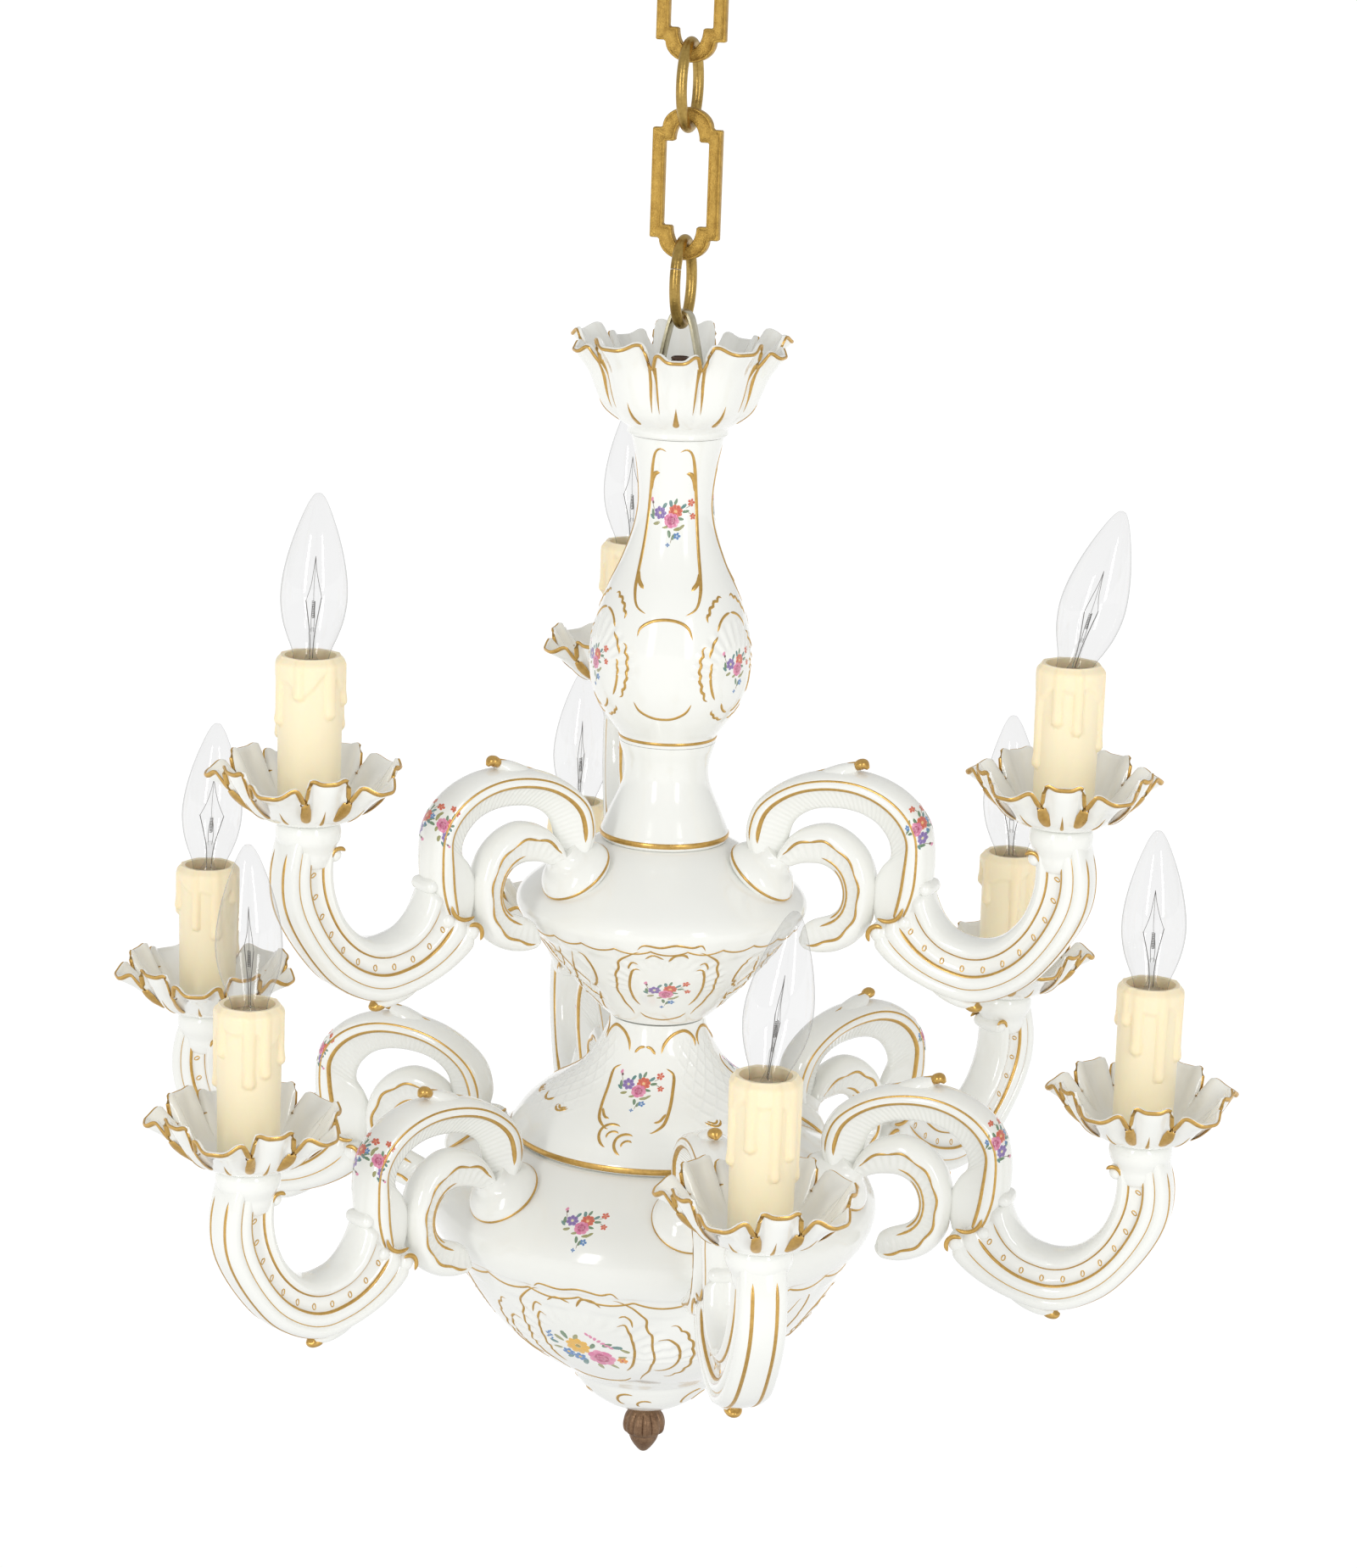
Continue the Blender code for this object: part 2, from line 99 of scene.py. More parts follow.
def arc(x, y, radius, start, end, count=24, tall=None):
    """Points on a circle, or on an ellipse that is tall high, from one angle in degrees to another."""
    angle = np.radians(np.linspace(start, end, count))
    return np.stack([x + radius * np.cos(angle), y + (tall or radius) * np.sin(angle)], 1)


def wavy(x, y, radius, start, end, scallops, depth, count=72, tall=None):
    """An arc whose radius dips by depth between scallops, as the edge of a shell does."""
    angle = np.radians(np.linspace(start, end, count))
    swell = 1 - depth * (1 - np.abs(np.sin(np.linspace(0, math.pi * scallops, count))))
    return np.stack([x + radius * swell * np.cos(angle), y + (tall or radius) * swell * np.sin(angle)], 1)


class Surface:
    """A grid of points [i, j], closed round j, with its outward normals. Both can be read anywhere between
    its rows and columns."""

    def __init__(self, points, inside_out=False):
        self.points = points
        along = np.gradient(points, axis=0)
        across = np.roll(points, -1, 1) - np.roll(points, 1, 1)
        self.normals = unit(np.cross(across, along)) * (-1 if inside_out else 1)

    def at(self, row, column):
        """(points, normals) by bilinear mixing of the four grid points round each place."""
        rows, columns = self.points.shape[:2]
        row = np.clip(row, 0, rows - 1.001)
        column = np.mod(column, columns)
        i, j = np.floor(row).astype(int), np.floor(column).astype(int) % columns
        f, g = (row - i)[..., None], (column - np.floor(column))[..., None]
        k = (j + 1) % columns

        def mix(grid):
            left = grid[i, j] * (1 - f) + grid[i + 1, j] * f
            right = grid[i, k] * (1 - f) + grid[i + 1, k] * f
            return left * (1 - g) + right * g

        return mix(self.points), unit(mix(self.normals))

    def near(self, row, column, x, y):
        """Places x along the columns and y along the rows from one place, counted in each row's own steps."""
        i, j = int(row), int(column)
        rows, columns = self.points.shape[:2]
        step_row = np.linalg.norm(self.points[i + 1, j] - self.points[i, j])
        steps = np.linalg.norm(self.points[:, (j + 1) % columns] - self.points[:, j], axis=1)
        down = row + np.asarray(y) / step_row
        return self.at(down, column + np.asarray(x) / np.interp(down, np.arange(rows), steps))


class Shape:
    """Gathers grids of points and makes one mesh of them, with a colour at each point."""

    def __init__(self):
        self.points, self.quads, self.tones = [], [], []
        self.count = 0

    def grid(self, points, around=False, along=False, tone=(1, 1, 1)):
        """Adds points[..., i, j, 3] as quads. around closes j on itself, along closes i, and a leading axis
        holds copies."""
        points = np.asarray(points, float)
        copies = points.reshape(-1, *points.shape[-3:])
        count, rows, columns = copies.shape[:3]
        index = np.arange(rows * columns).reshape(rows, columns)
        if along:
            index = np.vstack([index, index[:1]])
        if around:
            index = np.hstack([index, index[:, :1]])
        quads = np.stack([index[:-1, :-1], index[:-1, 1:], index[1:, 1:], index[1:, :-1]], -1).reshape(-1, 4)
        starts = self.count + rows * columns * np.arange(count)
        quads = (quads[None] + starts[:, None, None]).reshape(-1, 4)
        self.points.append(copies.reshape(-1, 3))
        self.quads.append(quads)
        self.tones.append(np.broadcast_to(np.asarray(tone, float), copies.shape).reshape(-1, 3))
        self.count += rows * columns * count

    def solid(self, points):
        """Adds a grid whose first and last rows are drawn together on their middles, so that it is closed."""
        ends = [np.broadcast_to(row.mean(0), row.shape)[None] for row in (points[0], points[-1])]
        self.grid(np.concatenate([ends[0], points, ends[1]]), around=True)

    def make(self, name, finish, slot, place, body=BODY, replaces=None, crease=48):
        """Makes the mesh in world metres, welds its seams, and sharpens edges bent by more than crease
        degrees. replaces names the frame's node that it stands for."""
        points = place(np.concatenate(self.points))
        quads = np.concatenate(self.quads).astype(np.int32)
        tones = np.concatenate(self.tones)
        mesh = bpy.data.meshes.new(name)
        mesh.vertices.add(len(points))
        mesh.vertices.foreach_set("co", points.ravel())
        mesh.loops.add(quads.size)
        mesh.loops.foreach_set("vertex_index", quads.ravel())
        mesh.polygons.add(len(quads))
        mesh.polygons.foreach_set("loop_start", np.arange(0, quads.size, 4, dtype=np.int32))
        mesh.update(calc_edges=True)
        colours = mesh.color_attributes.new("tone", "FLOAT_COLOR", "POINT")
        colours.data.foreach_set("color", np.hstack([tones, np.ones((len(tones), 1))]).ravel())
        mesh.materials.append(finish)
        bm = bmesh.new()
        bm.from_mesh(mesh)
        bmesh.ops.remove_doubles(bm, verts=bm.verts, dist=WELD)
        bmesh.ops.recalc_face_normals(bm, faces=bm.faces)
        bm.to_mesh(mesh)
        bm.free()
        mesh.shade_smooth()
        mesh.set_sharp_from_angle(angle=math.radians(crease))
        piece = bpy.data.objects.new(name, mesh)
        bpy.context.scene.collection.objects.link(piece)
        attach(piece, body)
        if replaces:
            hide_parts(replaces)


def on_stack(points):
    """Millimetres round the stem, with heights counted from DATUM, to world metres."""
    return points * MM + np.array([0, 0, DATUM])


def on_arm(label):
    """A place function for one arm: x outward from the candle's axis, y across, z up from its own seat."""
    low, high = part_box(f"candle_sleeve_{label}")
    x, y = (low[0] + high[0]) / 2, (low[1] + high[1]) / 2
    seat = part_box(f"bobeche_{label}")[0][2]
    reach = math.hypot(x, y)
    c, s = x / reach, y / reach

    def place(points):
        px, py, pz = points.T
        return np.stack([x + (px * c - py * s) * MM, y + (px * s + py * c) * MM, seat + pz * MM], 1)

    return place


def turned(outline, rows, columns, relief=None):
    """A smooth curve through (radius, height) points, spun round the stem. relief(run, angle) gives how far
    the skin stands out from it along the curve's own normal. Returns the surface and the run of its rows."""
    curve = spline(outline, rows)
    run = run_length(curve)
    tangent = unit(np.gradient(curve, axis=0))
    angle = np.linspace(0, TAU, columns, endpoint=False)
    lift = relief(run[:, None], angle[None, :]) if relief else np.zeros((rows, columns))
    radius = curve[:, :1] + tangent[:, 1:] * lift
    height = curve[:, 1:] - tangent[:, :1] * lift
    points = np.stack([radius * np.cos(angle), radius * np.sin(angle), height], -1)
    return Surface(points), run


def row_at(surface, height):
    """The row of a turned surface nearest to a height."""
    return float(np.argmin(np.abs(surface.points[:, :, 2].mean(1) - height)))


def column_at(surface, degrees):
    return math.radians(degrees) % TAU / TAU * surface.points.shape[1]


def gild(shape, line, width, height=0.3, ends=(0.18, 0.18), closed=False):
    """A raised line of gold on a surface: five points across and flat beneath, swelling from each end as a
    square root does. line is (points, normals)."""
    points, normals = line
    count = len(points)
    tangent = np.roll(points, -1, 0) - np.roll(points, 1, 0) if closed else np.gradient(points, axis=0)
    side = unit(np.cross(normals, unit(tangent)))
    t = np.linspace(0, 1, count)
    swell = np.ones(count)
    if not closed:
        swell = np.sqrt(np.clip(t / max(ends[0], 1e-6), 0, 1) * np.clip((1 - t) / max(ends[1], 1e-6), 0, 1))
    half = (0.64 * np.asarray(width) * swell)[:, None, None]
    across = np.array([-1, -0.72, 0, 0.72, 1])[None, :, None]
    rise = np.array([-0.5, 0.6, 1, 0.6, -0.5])[None, :, None]
    raised = normals[:, None] * rise * (height * swell)[:, None, None]
    ring = points[:, None] + side[:, None] * across * half + raised
    shape.grid(ring, around=True, along=closed)


def trace(shape, surface, row, column, path, width, steps=1.2, **options):
    """Gilds a smooth curve through (x, y) millimetre points, drawn round one place on a surface."""
    path = np.asarray(path, float)
    length = np.linalg.norm(np.diff(path, axis=0), axis=1).sum()
    curve = spline(path, max(8, int(length / steps)))
    gild(shape, surface.near(row, column, curve[:, 0], curve[:, 1]), width, **options)


def band_line(shape, surface, row, width, height=0.3, count=200, wave=None):
    """Gilds a line all the way round a turned surface. wave(angle) moves it up, in rows."""
    column = np.linspace(0, surface.points.shape[1], count, endpoint=False)
    angle = column / surface.points.shape[1] * TAU
    rows = row + (wave(angle) if wave else 0 * angle)
    gild(shape, surface.at(rows, column), width, height, closed=True)


# ---------------------------------------------------------------------------------------------------------
# Materials


class Value:
    """A shader socket that takes part in Python arithmetic: each operator adds one Math node."""

    def __init__(self, nodes, socket):
        self.nodes, self.socket = nodes, socket

    def math(self, operation, other=0.0, swap=False):
        first, second = (other, self) if swap else (self, other)
        return self.nodes.add("ShaderNodeMath", {"operation": operation}, {0: first, 1: second})

    def __add__(self, other): return self.math("ADD", other)
    def __radd__(self, other): return self.math("ADD", other, True)
    def __sub__(self, other): return self.math("SUBTRACT", other)
    def __rsub__(self, other): return self.math("SUBTRACT", other, True)
    def __mul__(self, other): return self.math("MULTIPLY", other)
    def __rmul__(self, other): return self.math("MULTIPLY", other, True)


class Nodes:
    """Builds one material. add() takes a node's type, its settings, and its sockets' values or links."""

    def __init__(self, name):
        self.material = bpy.data.materials.new(name)
        self.material.use_nodes = True
        self.tree = self.material.node_tree
        self.shader = self.tree.nodes["Principled BSDF"]

    def put(self, socket, value):
        if isinstance(value, Value):
            self.tree.links.new(value.socket, socket)
        elif isinstance(value, tuple) and len(value) == 3 and socket.type == "RGBA":
            socket.default_value = (*value, 1)
        else:
            socket.default_value = value

    def add(self, kind, settings=None, sockets=None, output=0):
        node = self.tree.nodes.new(kind)
        for key, value in (settings or {}).items():
            if key == "stops":
                for stop, (place, colour) in zip(node.color_ramp.elements, value):
                    stop.position, stop.color = place, (*colour, 1)
            else:
                setattr(node, key, value)
        for key, value in (sockets or {}).items():
            self.put(node.inputs[key], value)
        return Value(self, node.outputs[output])

    def noise(self, scale, detail=2.0, roughness=0.5):
        place = self.add("ShaderNodeTexCoord", output=3)
        return self.add("ShaderNodeTexNoise", {}, {"Vector": place, "Scale": scale, "Detail": detail,
                                                   "Roughness": roughness})

    def mix(self, factor, first, second):
        node = self.tree.nodes.new("ShaderNodeMix")
        node.data_type = "RGBA"
        for key, value in ((0, factor), (6, first), (7, second)):
            self.put(node.inputs[key], value)
        return Value(self, node.outputs[2])

    def ramp(self, value, low, high):
        """0 below low and 1 above high."""
        return self.add("ShaderNodeMapRange", {"clamp": True},
                        {"Value": value, "From Min": low, "From Max": high})

    def bump(self, height, distance, strength=1.0):
        return self.add("ShaderNodeBump", {}, {"Height": height, "Distance": distance, "Strength": strength})

    def tone(self):
        return self.add("ShaderNodeVertexColor", {"layer_name": "tone"})

    def finish(self, **sockets):
        for name, value in sockets.items():
            self.put(self.shader.inputs[name.replace("_", " ").title().replace("Ior", "IOR")], value)
        return self.material


def porcelain_finish():
    """White glaze: faint cloudiness in the body, and a skin with a very slow ripple."""
    n = Nodes("glazed_porcelain")
    cloud = n.noise(28.0, 3.0)
    white = n.mix(cloud, (0.880, 0.886, 0.842), (0.918, 0.926, 0.888))
    ripple = n.bump(n.noise(55.0, 1.0), 0.0004, 0.35)
    return n.finish(base_color=white, roughness=0.10 + 0.05 * n.noise(160.0), coat_weight=0.5,
                    coat_roughness=0.04, normal=ripple, specular_ior_level=0.55)


def gold_finish():
    """Fired gold laid by brush: streaks of thinner, browner gold and slightly uneven burnish."""
    n = Nodes("burnished_gilding")
    thin = n.ramp(n.noise(420.0, 3.0, 0.6), 0.35, 0.75)
    colour = n.mix(thin * 0.5, (0.66, 0.42, 0.13), (0.40, 0.215, 0.06))
    return n.finish(base_color=colour, metallic=1.0, roughness=0.2 + 0.22 * n.noise(240.0),
                    normal=n.bump(n.noise(900.0, 2.0), 0.0001, 0.5))


def enamel_finish():
    """Flower colours under the glaze, taken from the points' own tones."""
    n = Nodes("painted_enamel")
    soft = n.mix(0.16 * n.noise(1500.0, 2.0), n.tone(), (0.80, 0.80, 0.78))
    return n.finish(base_color=soft, roughness=0.16, coat_weight=0.4, coat_roughness=0.05)


def wax_finish():
    """Cream wax, paler and cooler towards the foot, a little deeper in colour where the drips have run."""
    n = Nodes("cream_wax")
    split = n.add("ShaderNodeSeparateColor", {}, {"Color": n.tone()})
    pale = n.mix(split, (0.99, 0.93, 0.76), (1.0, 0.82, 0.55))
    mottled = n.mix(n.noise(60.0, 3.0) * 0.5, pale, (1.0, 0.87, 0.62))
    return n.finish(base_color=mottled, roughness=0.34 + 0.12 * n.noise(90.0), subsurface_weight=0.25,
                    subsurface_radius=(0.006, 0.0035, 0.0015), subsurface_scale=1.0,
                    normal=n.bump(n.noise(220.0, 2.0), 0.0003, 0.35))


def glass_finish():
    """Thin blown glass: light passes straight through, faintly greyed, and its edge is shinier, with a flat
    grey painted shade mixed in towards it.
    """
    n = Nodes("blown_glass")
    edge = n.add("ShaderNodeLayerWeight", {}, {"Blend": 0.5}, 1)
    clear = n.add("ShaderNodeBsdfTransparent", {}, {"Color": (0.925, 0.925, 0.925)})
    gloss = n.add("ShaderNodeBsdfAnisotropic", {}, {"Color": (0.9, 0.9, 0.9), "Roughness": 0.03})
    # painted shade: a flat grey diffuse that the rim mask below mixes in, darkening the bulb towards its edge
    # in place of the glass's own darkening there
    painted_edge_shade = n.add("ShaderNodeBsdfDiffuse", {}, {"Color": (0.42, 0.42, 0.41)})
    shine = n.add("ShaderNodeMixShader", {}, {0: 0.05 + 0.16 * n.ramp(edge, 0.35, 1.0), 1: clear, 2: gloss})
    rim = n.ramp(edge, 0.66, 1.0)
    body = n.add("ShaderNodeMixShader", {}, {0: rim * 0.5, 1: shine, 2: painted_edge_shade})
    n.put(n.tree.nodes["Material Output"].inputs["Surface"], body)
    return n.material


def metal_finish(name, light, dark, scale, roughness, grain, cover=0.5, metallic=1.0):
    """A patinated metal: two colours in cloudy patches, with a cast or drawn grain of the given depth."""
    n = Nodes(name)
    patch = n.ramp(n.noise(scale, 4.0, 0.65), cover - 0.2, cover + 0.2)
    speck = n.ramp(n.noise(scale * 9, 2.0), 0.35, 0.7)
    colour = n.mix(0.7 * patch + 0.3 * speck, dark, light)
    return n.finish(base_color=colour, metallic=metallic, roughness=roughness + 0.2 * n.noise(scale * 4),
                    normal=n.bump(n.noise(scale * 7, 3.0), grain, 0.8))


PORCELAIN = porcelain_finish()
GOLD = gold_finish()
ENAMEL = enamel_finish()
WAX = wax_finish()
GLASS = glass_finish()
CAST_BRASS = metal_finish("cast_brass", (0.62, 0.40, 0.10), (0.30, 0.165, 0.035), 260.0, 0.3, 0.0005, 0.42)
DRAWN_BRASS = metal_finish("drawn_brass", (0.50, 0.34, 0.10), (0.24, 0.14, 0.035), 90.0, 0.2, 0.00015, 0.4)
PLATED_STEEL = metal_finish("plated_steel", (0.66, 0.63, 0.50), (0.42, 0.37, 0.22), 60.0, 0.22, 0.0001)
BROWN_STEEL = metal_finish("browned_steel", (0.28, 0.19, 0.15), (0.10, 0.06, 0.045), 200.0, 0.4, 0.0002)
BRONZE = metal_finish("dark_bronze", (0.36, 0.23, 0.14), (0.15, 0.085, 0.05), 120.0, 0.36, 0.0003)
SCREW_SHELL = metal_finish("screw_shell", (0.75, 0.68, 0.55), (0.5, 0.42, 0.3), 200.0, 0.2, 0.0001)
HOLDER = metal_finish("holder_brown", (0.52, 0.42, 0.28), (0.38, 0.28, 0.17), 100.0, 0.5, 0.0002,
                      metallic=0.0)
FILAMENT = metal_finish("lead_wire", (0.20, 0.19, 0.18), (0.12, 0.11, 0.10), 300.0, 0.35, 0.0001)


# ---------------------------------------------------------------------------------------------------------
# Painted bouquets

ROSE, ROSE_DEEP, ROSE_PALE = (0.72, 0.16, 0.34), (0.42, 0.03, 0.13), (0.86, 0.42, 0.55)
ORANGE, RED, YELLOW = (0.80, 0.18, 0.04), (0.55, 0.04, 0.03), (0.86, 0.50, 0.03)
VIOLET, LILAC, BLUE, SKY = (0.13, 0.06, 0.30), (0.36, 0.24, 0.56), (0.03, 0.12, 0.40), (0.14, 0.36, 0.64)
TEAL, GREEN, OLIVE, BROWN = (0.01, 0.17, 0.15), (0.05, 0.17, 0.04), (0.28, 0.27, 0.04), (0.14, 0.05, 0.05)
PETAL_SIDES = 9
BOUQUET_SIZE = 1.16


class Bouquet:
    """Small brush strokes, each an ellipse: place, half sizes, direction and its colours at heart and rim."""

    def __init__(self):
        self.strokes = []

    def dab(self, x, y, long, wide, degrees, heart, rim):
        self.strokes.append((x, y, long, wide, math.radians(degrees), *heart, *rim))

    def leaf(self, x, y, long, degrees, colour):
        tip = tuple(0.8 * c + 0.12 for c in colour)
        self.dab(x, y, long, long * 0.44, degrees, colour, tip)
        self.dab(x, y, long * 0.7, long * 0.08, degrees, tip, tip)

    def flower(self, x, y, radius, petals, heart, rim, eye, turn=0.0):
        for k in range(petals):
            angle = turn + 360 * k / petals
            c, s = math.cos(math.radians(angle)), math.sin(math.radians(angle))
            self.dab(x + 0.58 * radius * c, y + 0.58 * radius * s, 0.46 * radius, 0.38 * radius, angle, heart,
                     rim)
        self.dab(x, y, 0.26 * radius, 0.24 * radius, 0, eye, eye)

    def rose(self, x, y, radius, rim, heart, pale):
        for ring, (share, size, petals) in enumerate(((0.62, 0.44, 7), (0.36, 0.36, 5), (0.12, 0.24, 3))):
            for k in range(petals):
                angle = 360 * k / petals + 31 * ring
                c, s = math.cos(math.radians(angle)), math.sin(math.radians(angle))
                outer = pale if k % 2 == 0 else rim
                inner = heart if ring else rim
                self.dab(x + share * radius * c, y + share * radius * s, size * radius * 0.8, size * radius,
                         angle, inner, outer)
        for k in range(5):
            angle = 72 * k + 15
            c, s = math.cos(math.radians(angle)), math.sin(math.radians(angle))
            self.dab(x + 0.4 * radius * c, y + 0.4 * radius * s, 0.07 * radius, 0.3 * radius, angle, heart,
                     heart)

    def lay(self, shape, surface, row, column, scale=1.0, turn=0.0):
        """Lays the strokes on a surface, each a little above the one before."""
        s = np.array(self.strokes)
        scale *= BOUQUET_SIZE
        count = len(s)
        c0, s0 = math.cos(math.radians(turn)), math.sin(math.radians(turn))
        phi = np.linspace(0, TAU, PETAL_SIDES, endpoint=False)
        spread = np.array([0.0, 0.75, 1.0, 0.0])[None, :, None]
        ripple = 1 + 0.08 * np.sin(3 * phi + 40 * s[:, 0:1])[:, None, :]
        u = spread * ripple * np.cos(phi) * s[:, 2, None, None]
        v = spread * ripple * np.sin(phi) * s[:, 3, None, None]
        ca, sa = np.cos(s[:, 4])[:, None, None], np.sin(s[:, 4])[:, None, None]
        x, y = s[:, 0, None, None] + u * ca - v * sa, s[:, 1, None, None] + u * sa + v * ca
        x, y = scale * (x * c0 - y * s0), scale * (x * s0 + y * c0)
        points, normals = surface.near(row, column, x, y)
        lift = 0.05 + 0.10 * np.arange(count) / count
        rise = np.stack([lift, lift, np.full(count, -0.12), np.full(count, -0.12)], 1)[:, :, None, None]
        heart, rim = s[:, None, None, 5:8], s[:, None, None, 8:11]
        share = np.array([0.0, 0.6, 1.0, 1.0])[None, :, None, None]
        tone = heart * (1 - share) + rim * share + 0 * points
        shape.grid(points + normals * rise, around=True, tone=np.clip(tone, 0.01, 1))


def small_bouquet():
    b = Bouquet()
    for x, y, long, turn, colour in (
            (-3.2, 5.6, 2.0, 60, TEAL), (-0.5, 6.6, 2.1, 100, TEAL), (1.6, 7.6, 1.8, 70, GREEN),
            (5.0, 5.6, 2.0, 40, TEAL), (6.0, 3.4, 1.9, 10, GREEN), (-8.6, 2.0, 2.2, 100, GREEN),
            (-8.9, 0.4, 1.8, 140, TEAL), (-6.6, -2.2, 2.0, 20, OLIVE), (2.8, -4.2, 2.2, 15, OLIVE),
            (4.6, -3.2, 1.8, 40, OLIVE), (-0.8, -6.4, 2.0, 100, GREEN), (1.0, -7.6, 1.8, 70, GREEN),
            (3.8, 0.2, 1.8, -10, GREEN), (-2.6, -3.6, 1.7, 200, OLIVE)):
        b.leaf(x, y, long, turn, colour)
    for x, y, long, turn in ((-8.6, 5.0, 2.6, 110), (7.4, 5.6, 2.2, 30), (8.2, 2.4, 2.0, 150),
                             (0.2, -9.0, 1.8, 80)):
        b.dab(x, y, long, 0.16, turn, BROWN, OLIVE)
    b.dab(-9.4, 7.8, 1.3, 0.9, 70, ROSE, ROSE_PALE)
    b.dab(-8.9, 6.6, 0.9, 0.7, 90, BROWN, BROWN)
    b.flower(8.4, 7.2, 1.9, 5, RED, ORANGE, ORANGE)
    b.flower(9.4, 1.2, 1.6, 5, RED, ORANGE, ORANGE, 20)
    b.flower(-5.2, 2.4, 3.0, 7, VIOLET, LILAC, (0.8, 0.75, 0.4))
    b.flower(1.6, 3.4, 3.2, 8, RED, ORANGE, (0.85, 0.5, 0.2), 12)
    b.flower(2.6, -7.2, 1.7, 5, BLUE, SKY, (0.6, 0.7, 0.8))
    b.flower(-1.2, -11.2, 1.0, 4, BLUE, SKY, BLUE)
    b.rose(0, -0.6, 3.7, ROSE, ROSE_DEEP, ROSE_PALE)
    return b


def large_bouquet():
    b = Bouquet()
    for x, y, long, turn, colour in (
            (-12, 6.5, 3.2, 140, OLIVE), (-9, 9.5, 3.4, 110, GREEN), (-4, 9, 3.0, 70, OLIVE),
            (9, 6.5, 3.2, 30, GREEN), (13, 5.5, 3.2, 5, TEAL), (16, 3.5, 2.6, -30, OLIVE),
            (-14, -1, 2.8, 190, OLIVE), (-9, -6, 3.0, 230, TEAL), (-3, -9, 3.4, 250, TEAL),
            (3, -11, 3.0, 280, OLIVE), (9, -9.5, 2.8, 310, OLIVE), (-15, 3, 2.6, 160, TEAL),
            (2.5, 4.5, 2.8, 60, GREEN), (14, -1.5, 2.2, 0, OLIVE)):
        b.leaf(x, y, long, turn, colour)
    for k in range(7):
        b.dab(-15.5 - 0.9 * (k % 3), 9.5 - 1.3 * k * 0.6, 1.2, 0.6, 60 + 31 * k, BLUE, SKY)
        b.dab(1.5 + 1.5 * k, 12.5 - 1.25 * k, 1.5, 0.9, 120 - 25 * k, ROSE, ROSE_PALE)
    b.flower(-9.5, -3.0, 3.0, 6, BLUE, SKY, YELLOW, 10)
    b.flower(-4.8, -5.4, 3.2, 6, BLUE, SKY, YELLOW, 35)
    b.flower(13.5, -4.0, 2.4, 6, ORANGE, YELLOW, RED)
    b.flower(-4.0, 3.0, 5.6, 9, (0.80, 0.42, 0.03), YELLOW, (0.35, 0.28, 0.05))
    b.rose(5.0, -3.6, 6.4, ROSE, ROSE_DEEP, ROSE_PALE)
    return b


POSY = small_bouquet()
SPRAY = large_bouquet()


# ---------------------------------------------------------------------------------------------------------
# Arms


def across_band(inner, outer, section, half_depth):
    """Points of a bar between two edges in the arm's plane. section holds (place, depth), where place goes
    from -1 at the inner edge to 1 at the outer one."""
    share = (section[None, :, 0] + 1) / 2
    x = inner[:, None, 0] * (1 - share) + outer[:, None, 0] * share
    z = inner[:, None, 1] * (1 - share) + outer[:, None, 1] * share
    y = section[None, :, 1] * np.asarray(half_depth)[:, None]
    return np.stack([-x, y + 0 * x, z], -1)


def both_sides(half):
    """A half section mirrored across the arm's plane: down one side and back up the other."""
    half = knots(half, 3)
    back = half[-2:0:-1] * np.array([1, -1])
    return np.vstack([half, back])


# Half sections from the inner edge to the outer one: rolls, channels and the creases that carry gold.
TROUGH = [(-1.07, 0.0), (-1.05, 0.35), (-0.98, 0.68), (-0.86, 0.9), (-0.72, 0.97), (-0.6, 0.9), (-0.52, 0.77),
          (-0.36, 0.70), (-0.16, 0.69), (0.0, 0.74), (0.06, 0.86), (0.16, 0.96), (0.30, 1.0), (0.44, 0.96),
          (0.52, 0.85), (0.60, 0.94), (0.74, 0.98), (0.88, 0.9), (0.98, 0.72), (1.02, 0.50), (1.06, 0.26),
          (1.07, 0.0)]
TROUGH_GOLD = {6: 1.5, 10: 1.4, 14: 2.1, 19: 1.6}
SCROLL = [(-1.0, 0.0), (-0.98, 0.10), (-0.8, 0.24), (-0.5, 0.40), (-0.2, 0.58), (0.05, 0.76), (0.2, 0.90),
          (0.3, 0.98), (0.44, 1.0), (0.56, 0.95), (0.62, 0.90), (0.72, 0.90), (0.84, 0.78), (0.95, 0.52),
          (1.02, 0.26), (1.04, 0.0)]
SCROLL_GOLD = {6: 2.0, 10: 1.5}
SHELL = [(-1.0, 0.0), (-0.97, 0.16), (-0.8, 0.34), (-0.55, 0.52), (-0.25, 0.66), (0.1, 0.82), (0.3, 0.98),
         (0.5, 1.0), (0.72, 0.88), (0.9, 0.6), (1.0, 0.28), (1.02, 0.0)]

# Edges in the arm's plane: distance from the candle's axis towards the stem, height above the seat.
TROUGH_OUTER = [(-11.5, -4), (-14.5, -12), (-17, -25), (-16, -39), (-10.5, -53), (0, -69), (12, -82),
                (27, -91), (41, -94.5), (56, -92.5), (71, -87.5), (84, -80.5), (92.5, -73), (95.5, -65.5)]
TROUGH_INNER = [(11.5, -4), (10.5, -13), (9.5, -24), (11, -36), (16, -48.5), (24, -58), (32, -63),
                (40, -64.7), (47, -64), (54, -61.5), (59.5, -56.5), (63, -50.5), (65.5, -43.5), (67, -38)]
SCROLL_OUTER = [(78, -63.8), (70, -49.8), (66, -35.8), (66.5, -17.8), (71, -5.8), (80, 3.7), (92, 10),
                (106, 13), (122, 12.2), (137, 8.2), (150, 1.2), (160, -7.8), (164.5, -17.8), (165, -27.8),
                (161, -38)]
SCROLL_INNER = [(94, -63), (96.5, -53), (96.5, -43), (92.5, -34), (88, -27.5), (89.5, -19.5), (95.5, -12.3),
                (103, -8.4), (111, -6.8), (119, -6.8), (127, -8), (134, -10.8), (139.5, -15.3),
                (142.5, -21.8), (146, -38.8)]
SHELL_OUTER = [(149.5, -38), (146, -30), (140, -22.5), (131, -17.3), (120, -15.7), (109, -20), (100, -29),
               (95.5, -42), (96, -56), (98.5, -66), (105.5, -75), (116, -80.8), (127, -82), (134, -78.5)]
